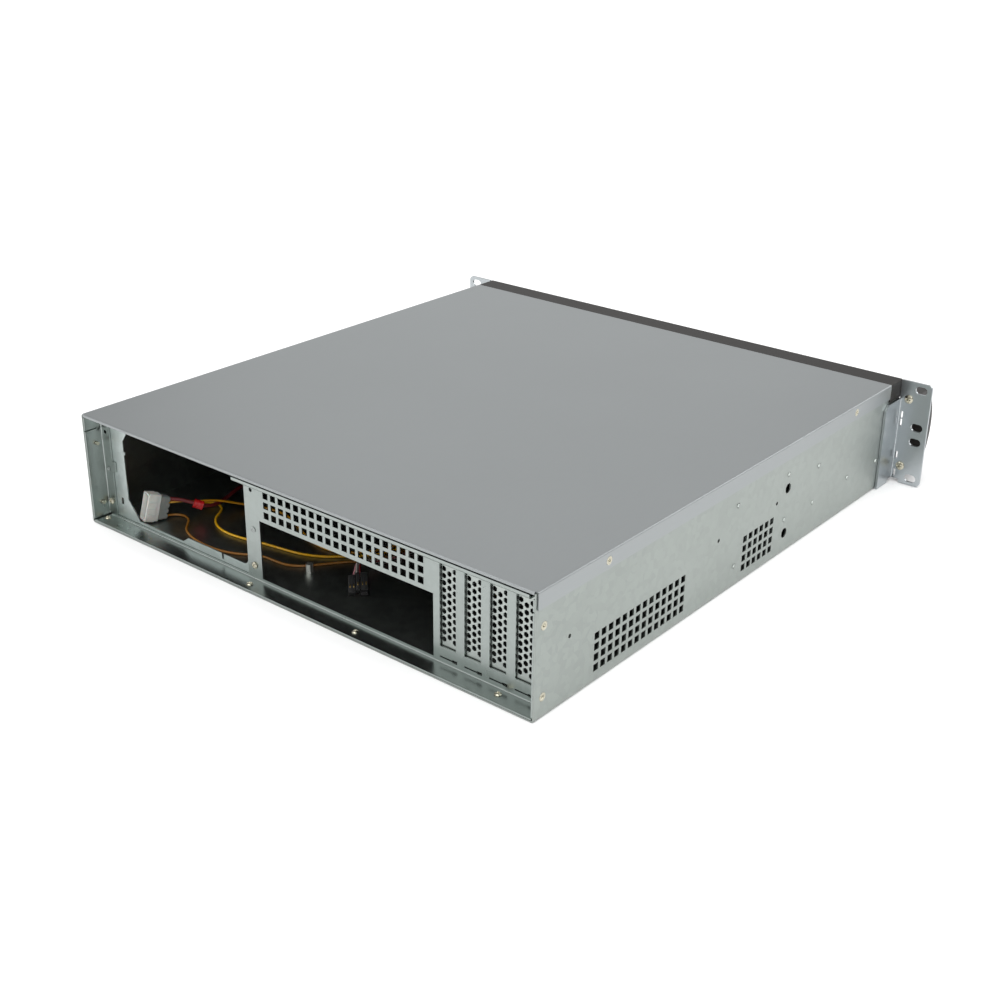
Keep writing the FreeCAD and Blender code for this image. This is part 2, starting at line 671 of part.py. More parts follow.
def slot_cover(centre):
    depth = PANEL_DEPTH + COVER_SETBACK
    top = LEDGE_HEIGHT + SHEET + FIT
    half = COVER_WIDTH / 2
    foot_width, foot, foot_top = COVER_FOOT
    foot_half = foot_width / 2
    shoulder = COVER_SHOULDER
    corners = [(centre - foot_half, foot, 0.0), (centre + foot_half, foot, 0.0),
               (centre + foot_half, foot_top, 0.0), (centre + half, shoulder, 0.0),
               (centre + half, top - BEND, 0.0), (centre - half, top - BEND, 0.0),
               (centre - half, shoulder, 0.0), (centre - foot_half, foot_top, 0.0)]
    y_back = y_at(depth + PLATE_SHEET)
    place = on_xz(y_back)
    holes = []
    for column in (-1, 0, 1):
        rows = COVER_HOLE_ROWS - 1 if column == 0 else COVER_HOLE_ROWS
        first = COVER_HOLE_FIRST + (COVER_HOLE_PITCH / 2 if column == 0 else 0.0)
        for row in range(rows):
            ring = polygon(COVER_HOLE / 2, COVER_HOLE_SIDES)
            ring.Placement = FreeCAD.Placement(
                V(centre + column * COVER_COLUMN_PITCH, y_back, first + row * COVER_HOLE_PITCH),
                FreeCAD.Rotation(V(1, 0, 0), 90))
            holes.append(ring)
    sheet = plate(corners, place, V(0, PLATE_SHEET, 0), holes)
    # the fold's skin faces the ledge, so its metal lies forward of it and above it
    tab_low = top - 3 * BEND
    tab_line = [(y_at(depth), tab_low), (y_at(depth), top), (y_at(COVER_TAB_END), top)]
    tab = folded(tab_line, PLATE_SHEET, BEND, on_yz(centre - half), V(COVER_WIDTH, 0, 0))
    sheet = sheet.cut(slab(centre - half - OVER, centre + half + OVER, depth - OVER, depth + 2 * OVER, tab_low,
                           top + OVER))
    cover = joined([sheet, tab])
    notch = m3_hole(centre, y_at(SLOT_SCREW_DEPTH), top, (0, 0, 1), 4 * SHEET)
    return cover.cut(notch)


# ---------------------------------------------------------------- top cover
def top_cover():
    half = BODY_WIDTH / 2
    low = BODY_HEIGHT - COVER_FLANGE
    hem_half = WALL_IN - 2 * FIT
    line = [(half, low), (half, BODY_HEIGHT), (-half, BODY_HEIGHT), (-half, low)]
    hem_round = COVER_HEM / 2
    shell = folded(line, COVER_SHEET, COVER_BEND, on_xz(y_at(COVER_DEPTH)), V(0, COVER_DEPTH - hem_round, 0))
    leaf = BODY_HEIGHT - COVER_HEM
    hem_line = [(y_at(COVER_HEM_LEAF), leaf), (y_at(0), leaf), (y_at(0), BODY_HEIGHT),
                (y_at(COVER_HEM_LEAF), BODY_HEIGHT)]
    hem_bend = hem_round - COVER_SHEET
    hem = folded(hem_line, COVER_SHEET, hem_bend, on_yz(-hem_half), V(2 * hem_half, 0, 0))
    cover = joined([shell, hem])
    return cover.cut([countersink(*place, CUT_LENGTH / 2) for place in cover_screw_places])


# ---------------------------------------------------------------- rack ears
def obround(x, z, length, width, depth0, depth1):
    """Cutter for a slot with round ends, lying along X."""
    half = length / 2
    round_end = width / 2 - 0.001
    corners = square(x - half, x + half, z - width / 2, z + width / 2, round_end)
    return plate(corners, on_xz(y_at(depth1)), V(0, depth1 - depth0, 0))


def rack_heights():
    offsets = (RACK_HOLE_OUTER / 2, RACK_HOLE_INNER / 2)
    return [MID_HEIGHT + sign * offset for offset in offsets for sign in (1, -1)]


def ear():
    """Right ear, at +X; the left one is its mirror."""
    inner = WALL_OUT + FIT
    outer = EAR_SPAN / 2
    start = FRONT_DEPTH - EAR_FLANGE_LENGTH
    line = [(inner, y_at(start)), (inner, FRONT_Y), (outer, FRONT_Y)]
    angle = folded(line, EAR_SHEET, BEND, on_xy(0.0), V(0, 0, BODY_HEIGHT))
    face_line = inner + EAR_SHEET + BEND
    front = [(face_line, 0, 0.0), (outer, 0, EAR_CORNER), (outer, BODY_HEIGHT, EAR_CORNER),
             (face_line, BODY_HEIGHT, 0.0)]
    face = plate(front, on_xz(FRONT_Y), V(0, EAR_SHEET, 0))
    bend_part = angle.common(block(inner - OVER, face_line, FRONT_Y - OVER, y_at(start) + OVER, 0, EAR_FLANGE_TOP))
    top_part = slab(inner + FIT + SHEET, face_line, EAR_BACK_DEPTH, FRONT_DEPTH, EAR_FLANGE_TOP, BODY_HEIGHT)
    shape = joined([face, bend_part, top_part])
    near = EAR_BACK_DEPTH - OVER
    far = FRONT_DEPTH + OVER
    cutters = [obround(RACK_HOLE_SPAN / 2, z, RACK_SLOT_LENGTH, RACK_SLOT_WIDTH, near, far) for z in rack_heights()]
    for x, y, z, axis in handle_screw_places(1):
        cutters.append(m3_hole(x, y, z, axis, 4 * EAR_SHEET))
    slot_w, slot_h = EAR_TAB_SLOT
    slot_x = face_line + EAR_TAB_SETBACK
    for z in EAR_TAB_HEIGHTS:
        cutters.append(slab(slot_x, slot_x + slot_w, near, far, z - slot_h / 2, z + slot_h / 2))
    # shallow relief where the fold meets the lower edge
    relief_depth, relief_width, relief_height = EAR_RELIEF
    cutters.append(slab(inner - OVER, face_line + relief_width, FRONT_DEPTH - relief_depth, far, -OVER,
                        relief_height))
    cut_depth, cut_height = EAR_CUT_CORNER
    outside = y_at(start) + OVER
    above = EAR_FLANGE_TOP + OVER
    corner = [V(inner - OVER, outside, above), V(inner - OVER, outside, EAR_FLANGE_TOP - cut_height),
              V(inner - OVER, y_at(start + cut_depth), above)]
    wedge = Part.Face(Part.makePolygon(corner + corner[:1]))
    cutters.append(wedge.extrude(V(EAR_SHEET + 2 * OVER, 0, 0)))
    return shape.cut(cutters)


# ---------------------------------------------------------------- bow handles
def handle_screw_places(side):
    leg = HANDLE_LEG / 2
    heights = (HANDLE_LOW + leg, HANDLE_HIGH - leg)
    return [(side * HANDLE_X, y_at(EAR_BACK_DEPTH), z, (0, 1, 0)) for z in heights]


def handle():
    """Right handle: a flat bow with two legs, tapped from behind."""
    foot = y_at(FRONT_DEPTH + FIT)
    shoulder = y_at(FRONT_DEPTH + HANDLE_SHOULDER)
    crown = y_at(FRONT_DEPTH + HANDLE_REACH)
    leg = HANDLE_LEG
    place = on_yz(HANDLE_X - HANDLE_WIDTH / 2)
    p = [place(foot, HANDLE_LOW), place(shoulder, HANDLE_LOW), place(crown, MID_HEIGHT),
         place(shoulder, HANDLE_HIGH), place(foot, HANDLE_HIGH), place(foot, HANDLE_HIGH - leg),
         place(shoulder + leg, HANDLE_HIGH - leg), place(crown + leg, MID_HEIGHT),
         place(shoulder + leg, HANDLE_LOW + leg), place(foot, HANDLE_LOW + leg)]
    edges = [Part.makeLine(p[0], p[1]), Part.Arc(p[1], p[2], p[3]).toShape(), Part.makeLine(p[3], p[4]),
             Part.makeLine(p[4], p[5]), Part.makeLine(p[5], p[6]), Part.Arc(p[6], p[7], p[8]).toShape(),
             Part.makeLine(p[8], p[9]), Part.makeLine(p[9], p[0])]
    bow = Part.Face(Part.Wire(edges)).extrude(V(HANDLE_WIDTH, 0, 0))
    corners = [e for e in bow.Edges if is_handle_corner(e, shoulder)]
    bow = bow.makeFillet(HANDLE_CORNER, corners)
    rims = [e for e in bow.Edges if is_handle_rim(e, foot)]
    bow = bow.makeChamfer(HANDLE_EDGE, rims)
    drills = [m3_hole(x, foot, z, axis, HANDLE_DRILL) for x, y, z, axis in handle_screw_places(1)]
    return bow.cut(drills)


def is_handle_corner(edge, shoulder):
    ends = [v.Point for v in edge.Vertexes]
    straight = abs(ends[0].y - ends[-1].y) < 0.01 and abs(ends[0].z - ends[-1].z) < 0.01
    return straight and abs(ends[0].y - shoulder) < 0.01


def is_handle_rim(edge, foot):
    """Edges round both flat sides of the bow, apart from those at its feet."""
    ends = [v.Point for v in edge.Vertexes]
    in_side = abs(ends[0].x - ends[-1].x) < 0.01
    at_foot = all(abs(e.y - foot) < 0.01 for e in ends)
    return in_side and not at_foot


# ---------------------------------------------------------------- front panel
def grille_slots(centre_x):
    """Upright slots in columns, kept inside a circle and parted by a level bridge."""
    made = []
    half_slot = GRILLE_SLOT / 2
    for i in range(GRILLE_COLUMNS):
        offset = (i - (GRILLE_COLUMNS - 1) / 2) * GRILLE_PITCH
        reach = math.sqrt(GRILLE_RADIUS ** 2 - (abs(offset) + half_slot) ** 2)
        x = centre_x + offset
        for low, high in ((GRILLE_BRIDGE / 2, reach), (-reach, -GRILLE_BRIDGE / 2)):
            made.append(slab(x - half_slot, x + half_slot, FACE_INNER_DEPTH - OVER, FRONT_DEPTH + OVER,
                             FAN_HEIGHT + low, FAN_HEIGHT + high))
    return made


def fan_screw_places():
    half = FAN_HOLE_SPACING / 2
    return [(centre + sx * half, FRONT_Y, FAN_HEIGHT + sz * half, (0, -1, 0))
            for centre in FAN_CENTRES for sx in (1, -1) for sz in (1, -1)]


def port_centres():
    return (CONTROL_X - PORT_SPACING / 2, CONTROL_X + PORT_SPACING / 2)


def light_centres():
    return (CONTROL_X - LIGHT_SPACING / 2, CONTROL_X + LIGHT_SPACING / 2)


def round_cutter(x, z, diameter):
    return Part.makeCylinder(diameter / 2, 4 * SHEET, V(x, FRONT_Y - SHEET, z), V(0, 1, 0))


def front_panel():
    half = BODY_WIDTH / 2
    start = COVER_DEPTH + CLEARANCE
    line = [(y_at(start), BODY_HEIGHT), (FRONT_Y, BODY_HEIGHT), (FRONT_Y, 0), (y_at(start), 0)]
    inner_half = WALL_IN - FIT
    shell = folded(line, SHEET, COVER_BEND, on_yz(-inner_half), V(2 * inner_half, 0, 0))
    hood_low = EAR_FLANGE_TOP + SHEET
    top_line = [(half, hood_low), (half, BODY_HEIGHT), (-half, BODY_HEIGHT), (-half, hood_low)]
    hood = folded(top_line, COVER_SHEET, COVER_BEND, on_xz(FRONT_Y), V(0, FRONT_DEPTH - start, 0))
    face = plate(square(-WALL_OUT, WALL_OUT, BEND, COVER_INNER, 0.0), on_xz(FRONT_Y), V(0, SHEET, 0))
    panel = joined([shell, hood, face])
    near = FACE_INNER_DEPTH - OVER
    far = FRONT_DEPTH + OVER
    cutters = []
    for bottom in BAY_BOTTOMS:
        cutters.append(slab(BAY_CENTRE - BAY_WIDTH / 2, BAY_CENTRE + BAY_WIDTH / 2, near, far, bottom,
                            bottom + BAY_HEIGHT))
    for centre in FAN_CENTRES:
        cutters += grille_slots(centre)
    for x, y, z, axis in fan_screw_places():
        cutters.append(m3_hole(x, y, z, axis, 4 * SHEET))
    for diameter, height in (POWER_BUTTON, RESET_BUTTON):
        cutters.append(round_cutter(CONTROL_X, height, diameter + 2 * CLEARANCE))
    for x in light_centres():
        bore = prism(LIGHT_DIAMETER / 2 + FIT, 4 * SHEET, LIGHT_SIDES)
        cutters.append(turned(bore, V(0, 1, 0), V(x, FRONT_Y - SHEET, LIGHT_HEIGHT)))
    width, height = PORT_SIZE
    for x in port_centres():
        cutters.append(slab(x - width / 2 - FIT, x + width / 2 + FIT, near, far, PORT_HEIGHT - height / 2 - FIT,
                            PORT_HEIGHT + height / 2 + FIT))
    return panel.cut(cutters)


# ---------------------------------------------------------------- drive bays
def bay_cover(bottom):
    """Moulded blank: a flat face with a shallow rim behind it that grips the cage."""
    half = BAY_WIDTH / 2 - CLEARANCE
    low = bottom + CLEARANCE
    high = bottom + BAY_HEIGHT - CLEARANCE
    front = FRONT_DEPTH + BAY_COVER_PROUD
    back = front - BAY_COVER_PLATE
    left = BAY_CENTRE - half
    right = BAY_CENTRE + half
    face = plate(square(left, right, low, high), on_xz(y_at(front)), V(0, BAY_COVER_PLATE, 0))
    wall = BAY_RIM_WALL
    rims = []
    for side in (1, -1):
        edge = BAY_CENTRE + side * (half - wall)
        rims.append(slab(edge - side * wall, edge, back - BAY_COVER_RIM, back, low + BAY_SIDE_RIM_END,
                         high - BAY_SIDE_RIM_END))
    for edge, sign in ((low + wall, 1), (high - wall, -1)):
        rims.append(slab(left + BAY_LONG_RIM_END, right - BAY_LONG_RIM_END, back - BAY_COVER_RIM / 2, back, edge,
                         edge + sign * wall))
    cover = joined([face] + rims)
    groove_end, groove_height, groove_width, groove_depth = BAY_GROOVE
    groove = slab(left + groove_end, right - groove_end, front - groove_depth, front + OVER, low + groove_height,
                  low + groove_height + groove_width)
    return cover.cut(groove)


def drive_cage():
    half = BAY_WIDTH / 2 + FIT + SHEET
    start = FACE_INNER_DEPTH - FIT - CAGE_LENGTH
    low = FLOOR + FIT
    top = TRAY_TOP - SHEET - 2 * FIT
    left = BAY_CENTRE - half
    right = BAY_CENTRE + half
    line = [(left, top), (left, low), (right, low), (right, top)]
    cage = folded(line, SHEET, BEND, on_xz(y_at(start + CAGE_LENGTH)), V(0, CAGE_LENGTH, 0))
    cutters = []
    slot_w, slot_l = CAGE_SLOT
    for bottom in BAY_BOTTOMS:
        z = bottom + CAGE_SLOT_HEIGHT
        for distance in CAGE_SLOT_STARTS:
            depth = start + distance
            cutters.append(slab(left - OVER, right + OVER, depth - slot_l / 2, depth + slot_l / 2, z - slot_w / 2,
                                z + slot_w / 2))
    window_width, window_x, window_start, window_end = CAGE_WINDOW
    for side in (-1, 1):
        x = BAY_CENTRE + side * window_x
        cutters.append(slab(x - window_width / 2, x + window_width / 2, start + window_start, start + window_end, 0,
                            3 * SHEET))
    for x, y, z, axis in cage_screw_places():
        cutters.append(m3_hole(x, y, z, axis, 6 * SHEET))
    return cage.cut(cutters)


def cage_screw_places():
    start = FACE_INNER_DEPTH - FIT - CAGE_LENGTH
    half = BAY_WIDTH / 2 - CAGE_SCREW_INSET
    z = FLOOR + FIT + SHEET
    return [(BAY_CENTRE + side * half, y_at(start + distance), z, (0, 0, 1))
            for side in (1, -1) for distance in CAGE_SCREW_STARTS]


# ---------------------------------------------------------------- fans
def fan_frame(centre):
    half = FAN_SIZE / 2
    back = y_at(FAN_BACK_DEPTH)
    front = y_at(FAN_FRONT_DEPTH)
    inner = half - FAN_CORNER
    square_corners = [(-half, -inner), (-inner, -half), (inner, -half), (half, -inner), (half, inner),
                      (inner, half), (-inner, half), (-half, inner)]
    corners = [(centre + a, FAN_HEIGHT + b, 0.0) for a, b in square_corners]
    body = plate(corners, on_xz(front), V(0, FAN_THICKNESS, 0))
    middle = V(centre, front, FAN_HEIGHT)
    bore = turned(prism(FAN_BORE / 2, FAN_THICKNESS + 2 * OVER, FAN_BORE_SIDES, -OVER), V(0, 1, 0), middle)
    motor = turned(prism(FAN_HUB / 2, MOTOR_PLATE, MOTOR_SIDES, FAN_THICKNESS - MOTOR_PLATE), V(0, 1, 0), middle)
    shaft_start = front + HUB_RECESS + HUB_FRONT_WALL + CLEARANCE
    shaft_length = back - MOTOR_PLATE + OVER - shaft_start
    shaft = Part.makeCylinder(FAN_SHAFT / 2, shaft_length, V(centre, shaft_start, FAN_HEIGHT), V(0, 1, 0))
    spokes = []
    root, tip = SPOKE_ROOTS
    for angle in SPOKE_ANGLES:
        spoke = block(FAN_HUB / 2 - root, FAN_BORE / 2 + tip, back - MOTOR_PLATE, back, -SPOKE_WIDTH / 2,
                      SPOKE_WIDTH / 2)
        spoke.rotate(V(0, 0, 0), V(0, 1, 0), angle)
        spoke.translate(V(centre, 0, FAN_HEIGHT))
        spokes.append(spoke)
    frame = joined([body.cut(bore), motor, shaft] + spokes)
    holes = [m3_hole(x, y, z, axis, 4 * FAN_THICKNESS) for x, y, z, axis in fan_screw_places()]
    return frame.cut(holes)


def fan_rotor(centre):
    back = y_at(FAN_BACK_DEPTH)
    front = y_at(FAN_FRONT_DEPTH)
    hub_front = front + HUB_RECESS
    hub_back = back - MOTOR_PLATE - 2 * CLEARANCE
    length = hub_back - hub_front
    hub_place = V(centre, hub_front, FAN_HEIGHT)
    hub = turned(prism(FAN_HUB / 2, length, FAN_BORE_SIDES), V(0, 1, 0), hub_place)
    bore = Part.makeCylinder(FAN_SHAFT / 2 + SHAFT_CLEARANCE, length,
                             V(centre, hub_front + HUB_FRONT_WALL, FAN_HEIGHT), V(0, 1, 0))
    middle = (hub_front + hub_back) / 2
    chord, sweep = BLADE_TIP
    reach = chord / 2 * math.cos(math.radians(BLADE_PITCH)) + sweep
    flat_tip = math.sqrt((FAN_BLADE_TIP / 2) ** 2 - reach ** 2)
    blades = []
    for i in range(FAN_BLADES):
        blade = tapered(blade_section(FAN_HUB / 2 - OVER, *BLADE_ROOT, middle),
                        blade_section(flat_tip, *BLADE_TIP, middle))
        blade.rotate(V(0, 0, 0), V(0, 1, 0), i * 360.0 / FAN_BLADES)
        blade.translate(V(centre, 0, FAN_HEIGHT))
        blades.append(blade)
    return joined([hub] + blades).cut(bore)


def blade_section(radius, chord, sweep, middle):
    """Corners of a flat blade's section at a radius, set at the pitch to the disc."""
    lean = math.radians(BLADE_PITCH)
    along = V(math.cos(lean), math.sin(lean), 0)
    across = V(-math.sin(lean), math.cos(lean), 0)
    ends = [(-chord / 2, -1), (chord / 2, -1), (chord / 2, 1), (-chord / 2, 1)]
    return [along * a + across * (b * FAN_BLADE_THICKNESS / 2) + V(sweep, middle, radius) for a, b in ends]


# ---------------------------------------------------------------- front controls
def button(diameter, height):
    """Push button: cap, collar behind the panel and a stem towards its switch."""
    cap_front = FRONT_Y - BUTTON_PROUD
    collar_front = FRONT_Y + SHEET + CLEARANCE
    collar_rim, collar_thickness = BUTTON_COLLAR
    collar_place = V(CONTROL_X, collar_front, height)
    cap_length = collar_front - cap_front + collar_thickness / 2
    cap = Part.makeCylinder(diameter / 2, cap_length, V(CONTROL_X, cap_front, height), V(0, 1, 0))
    collar = turned(prism(diameter / 2 + collar_rim, collar_thickness), V(0, 1, 0), collar_place)
    stem_end = switch_face() - CLEARANCE - BUTTON_TRAVEL
    stem = turned(prism(BUTTON_STEM, stem_end - collar_front), V(0, 1, 0), collar_place)
    return joined([cap, collar, stem])


def switch_face():
    return y_at(CONTROL_BOARD_DEPTH) - SWITCH_SIZE[1]


def control_board():
    """Circuit board with its two switches, behind the panel's controls."""
    width, low, high, thick = CONTROL_BOARD
    board_y = y_at(CONTROL_BOARD_DEPTH)
    board = block(CONTROL_X - width / 2, CONTROL_X + width / 2, board_y, board_y + thick, low, high)
    parts = [board]
    half = SWITCH_SIZE[0] / 2
    for diameter, height in (POWER_BUTTON, RESET_BUTTON):
        parts.append(block(CONTROL_X - half, CONTROL_X + half, switch_face(), board_y, height - half, height + half))
    socket_width, socket_depth, socket_low, socket_high = BOARD_SOCKET
    back = board_y + thick
    parts.append(block(CONTROL_X - socket_width / 2, CONTROL_X + socket_width / 2, back, back + socket_depth,
                       low + socket_low, low + socket_high))
    body = joined(parts)
    return body.cut([m3_hole(x, board_y, z, (0, 1, 0), CUT_LENGTH) for x, z in post_points()])


def post_points():
    return [(CONTROL_X + side * POST_SPACING / 2, POST_HEIGHT) for side in (1, -1)]


def board_posts():
    """Two threaded posts on the panel's back, with the screws that hold the board."""
    made = []
    board_y = y_at(CONTROL_BOARD_DEPTH)
    back = FRONT_Y + SHEET
    for x, z in post_points():
        post = turned(prism(POST_RADIUS, board_y - back, SHANK_SIDES), V(0, 1, 0), V(x, back, z))
        thick = CONTROL_BOARD[3]
        screw = pan_screw(*FLOOR_SCREW[:2], M3_SHANK, thick + OVER)
        screw = turned(screw, V(0, 1, 0), V(x, board_y + thick, z))
        made.append(post.fuse(screw).removeSplitter())
    return group(made)


def status_lights():
    front = FRONT_Y - LIGHT_PROUD
    length = y_at(CONTROL_BOARD_DEPTH) - CLEARANCE / 2 - front
    return group([turned(prism(LIGHT_DIAMETER / 2, length, LIGHT_SIDES), V(0, 1, 0), V(x, front, LIGHT_HEIGHT))
                  for x in light_centres()])


def data_ports():
    """Two upright socket shells with their tongues."""
    width, height = PORT_SIZE
    front = FRONT_Y - PORT_PROUD
    back = y_at(CONTROL_BOARD_DEPTH) - FIT / 2
    low = PORT_HEIGHT - height / 2
    high = PORT_HEIGHT + height / 2
    wall = PORT_WALL
    tongue_left, tongue_right, tongue_front, tongue_end = PORT_TONGUE
    made = []
    for x in port_centres():
        left = x - width / 2
        right = x + width / 2
        shell = block(left, right, front, back, low, high)
        hollow = block(left + wall, right - wall, front - OVER, back - PORT_BACK_WALL, low + wall, high - wall)
        tongue = block(x + tongue_left, x + tongue_right, front + tongue_front, back - PORT_BACK_WALL / 2,
                       low + tongue_end, high - tongue_end)
        made.append(shell.cut(hollow).fuse(tongue).removeSplitter())
    return group(made)


# ---------------------------------------------------------------- inner leads
def lead_points(route):
    return [V(x, y_at(d), z) for x, d, z in route]


def lead(route, diameter, node):
    """Tube along straight runs joined by tangent arcs, each as large as its runs allow."""
    points = lead_points(route)
    edges = []
    cursor = points[0]
    radii = []
    for i in range(1, len(points) - 1):
        before = points[i - 1] - points[i]
        after = points[i + 1] - points[i]
        reach = BEND_SHARE * min(before.Length, after.Length)
        before.normalize()
        after.normalize()
        turn = math.pi - before.getAngle(after)
        first = points[i] + before * reach
        last = points[i] + after * reach
        radius = reach / math.tan(turn / 2)
        radii.append(radius)
        half = (math.pi - turn) / 2
        bisector = (before + after).normalize()
        middle = points[i] + bisector * (radius / math.sin(half) - radius)
        edges.append(Part.makeLine(cursor, first))
        edges.append(Part.Arc(first, middle, last).toShape())
        cursor = last
    edges.append(Part.makeLine(cursor, points[-1]))
    path = Part.Wire(edges)
    start_direction = (points[1] - points[0]).normalize()
    section = polygon(diameter / 2, LEAD_SIDES)
    section = turned(section, start_direction, points[0])
    tube = path.makePipeShell([section], True, False)
    expected = Part.Face(section).Area * path.Length
    print(node, "length", round(path.Length, 1), "tightest", round(min(radii), 1))
    print(node, "volume ratio", round(tube.Volume / expected, 4))
    return tube


def plug_frame():
    """Place of the mated power connectors: local X runs from the free end to the leads."""
    x, depth = PLUG_ORIGIN
    return FreeCAD.Placement(V(x, y_at(depth), FLOOR + FIT / 2), FreeCAD.Rotation(V(0, 0, 1), PLUG_TURN))


def contact_heights():
    """Heights of the contacts above the connectors' underside, from the lowest up."""
    middle = (CONTACT_COUNT - 1) / 2
    return [PLUG_BODY[2] / 2 + (i - middle) * CONTACT_PITCH for i in range(CONTACT_COUNT)]


def power_plug():
    """Outer shell of the pair, standing on its narrow side, open at the free end."""
    length, thick, tall = PLUG_BODY
    body = block(0, length, 0, thick, 0, tall)
    edges = [e for e in body.Edges if abs(e.Vertexes[0].X - e.Vertexes[-1].X) > length / 2]
    body = body.makeChamfer(PLUG_EDGE, edges)
    cavities = []
    for z in contact_heights():
        cavity = prism(CAVITY_RADIUS, length - CAVITY_FLOOR)
        cavities.append(turned(cavity, V(1, 0, 0), V(-OVER, thick / 2, z)))
    body = body.cut(cavities)
    body.Placement = plug_frame()
    return body


def power_socket():
    """Inner housing of the pair, where the leads enter."""
    gap = FIT / 2
    start = PLUG_BODY[0] + gap
    length, thick, tall = SOCKET_BODY
    y0 = (PLUG_BODY[1] - thick) / 2
    z0 = (PLUG_BODY[2] - tall) / 2
    body = block(start, start + length, y0, y0 + thick, z0, z0 + tall)
    latch_start, latch_end, latch_rise, latch_width = SOCKET_LATCH
    low = (PLUG_BODY[2] - latch_width) / 2
    latch = block(start + latch_start, start + latch_end, y0 + thick, y0 + thick + latch_rise, low,
                  low + latch_width)
    body = joined([body, latch])
    body.Placement = plug_frame()
    return body




def header_connectors():
    """Small header housings that lie together on the floor."""
    x, depth = HEADER_ORIGIN
    made = []
    for i, (u, v, length, width, height) in enumerate(HEADER_BODIES):
        z = HEADER_UPPER if i == len(HEADER_BODIES) - 1 else 0.0
        body = block(u, u + length, v - width / 2, v + width / 2, z, z + height)
        turn = FreeCAD.Rotation(V(0, 0, 1), HEADER_TURN)
        body.Placement = FreeCAD.Placement(V(x, y_at(depth), FLOOR + FIT / 2), turn)
        made.append(body)
    return group(made)


def crimp_sleeve(route, index):
    """Sleeve round the red lead, on one straight run of its route."""
    points = lead_points(route)
    a = points[index]
    b = points[index + 1]
    axis = (b - a).normalize()
    middle = (a + b) * 0.5
    start = middle - axis * (CRIMP_LENGTH / 2)
    sleeve = prism(CRIMP_DIAMETER / 2, CRIMP_LENGTH, CONE_SIDES)
    core = prism(LEAD_PAIR / 2 + FIT / 2, CRIMP_LENGTH + 2 * OVER, CONE_SIDES, -OVER)
    return turned(sleeve.cut(core), axis, start)


LEAD_ROUTES = {
    "supply_lead_red": (LEAD_PAIR, [
        (166.9, 42.9, 20.5), (162.4, 47.9, 20.3), (158.2, 53.2, 18.0), (152.5, 63.5, 11.2), (152.3, 72.0, 7.6),
        (154.2, 84.0, 4.2), (158.5, 100.0, 2.7), (163.0, 122.0, 2.6), (171.5, 190.0, 2.6), (173.5, 276.0, 2.6),
        (176.0, 362.0, 2.6), (180.0, 398.0, 2.6), (180.5, 424.0, 3.2), (177.0, 440.0, 5.8), (176.0, 450.5, 6.5)]),
    "supply_lead_yellow": (LEAD_SINGLE, [
        (166.9, 42.9, 15.4), (163.0, 49.0, 15.2), (160.8, 56.5, 14.8), (157.5, 64.5, 13.6), (152.0, 74.5, 10.5),
        (145.5, 87.0, 5.2), (136.0, 96.5, 2.4), (122.0, 101.0, 2.1), (106.0, 100.5, 2.1), (90.0, 95.0, 2.1),
        (74.0, 87.0, 2.1), (57.0, 80.5, 2.1), (41.0, 79.0, 2.1), (28.0, 84.0, 2.1), (17.0, 94.0, 2.1),
        (9.0, 108.0, 2.1), (5.5, 128.0, 2.1), (7.0, 290.0, 2.1), (8.0, 372.0, 2.1), (12.0, 404.0, 2.1),
        (22.0, 426.0, 2.6), (27.0, 440.0, 5.4), (28.0, 450.5, 6.5)]),
    "fan_lead_outer": (LEAD_SINGLE, [
        (166.9, 42.9, 10.4), (163.0, 49.0, 9.4), (162.5, 58.5, 7.0), (166.0, 69.0, 4.2), (167.5, 79.5, 2.4),
        (159.5, 84.0, 2.1), (150.5, 74.5, 2.1), (141.0, 62.0, 2.1), (129.5, 53.0, 2.1), (115.0, 50.5, 2.1),
        (99.0, 52.5, 2.1), (82.0, 56.5, 2.1), (65.0, 59.0, 2.1), (50.0, 62.0, 2.1), (36.0, 68.5, 2.1),
        (24.0, 79.0, 2.1), (12.0, 91.0, 2.1), (3.5, 106.0, 2.1), (0.5, 128.0, 2.1), (2.0, 292.0, 2.1),
        (2.5, 376.0, 2.1), (5.5, 408.0, 2.1), (14.0, 429.0, 2.7), (19.0, 441.0, 5.4), (20.0, 450.5, 6.5)]),
    "fan_lead_inner": (LEAD_SINGLE, [
        (166.9, 42.9, 5.3), (160.5, 48.5, 4.2), (151.0, 49.0, 2.6), (141.5, 43.0, 2.1), (131.0, 37.5, 2.1),
        (117.0, 35.0, 2.1), (101.0, 36.0, 2.1), (86.0, 40.0, 2.1), (71.0, 44.5, 2.1), (56.0, 43.5, 2.1),
        (43.0, 45.5, 2.1), (34.0, 53.0, 2.1), (27.0, 63.0, 2.1), (16.0, 75.5, 2.1), (4.0, 87.5, 2.1),
        (-3.0, 104.0, 2.1), (-5.0, 126.0, 2.1), (-3.5, 292.0, 2.1), (-3.0, 380.0, 2.1), (-1.5, 410.0, 2.1),
        (4.5, 430.0, 2.8), (10.5, 441.5, 5.4), (12.0, 450.5, 6.5)]),
    "panel_ribbon": (RIBBON, [
        (-11.3, 59.2, 3.7), (-6.0, 64.5, 3.5), (-2.5, 72.5, 3.2), (-3.0, 83.0, 3.2), (-7.5, 95.0, 3.2),
        (-11.0, 111.0, 3.2), (-13.0, 132.0, 3.2), (-13.5, 212.0, 3.2), (-13.0, 300.0, 3.2), (-15.0, 384.0, 3.2),
        (-21.0, 413.0, 3.3), (-27.0, 431.0, 5.4), (-30.8, 442.0, 10.4), (-31.8, 450.0, 14.4), (-32.0, 458.1, 15.5)]),
}
CRIMP_RUN = 2


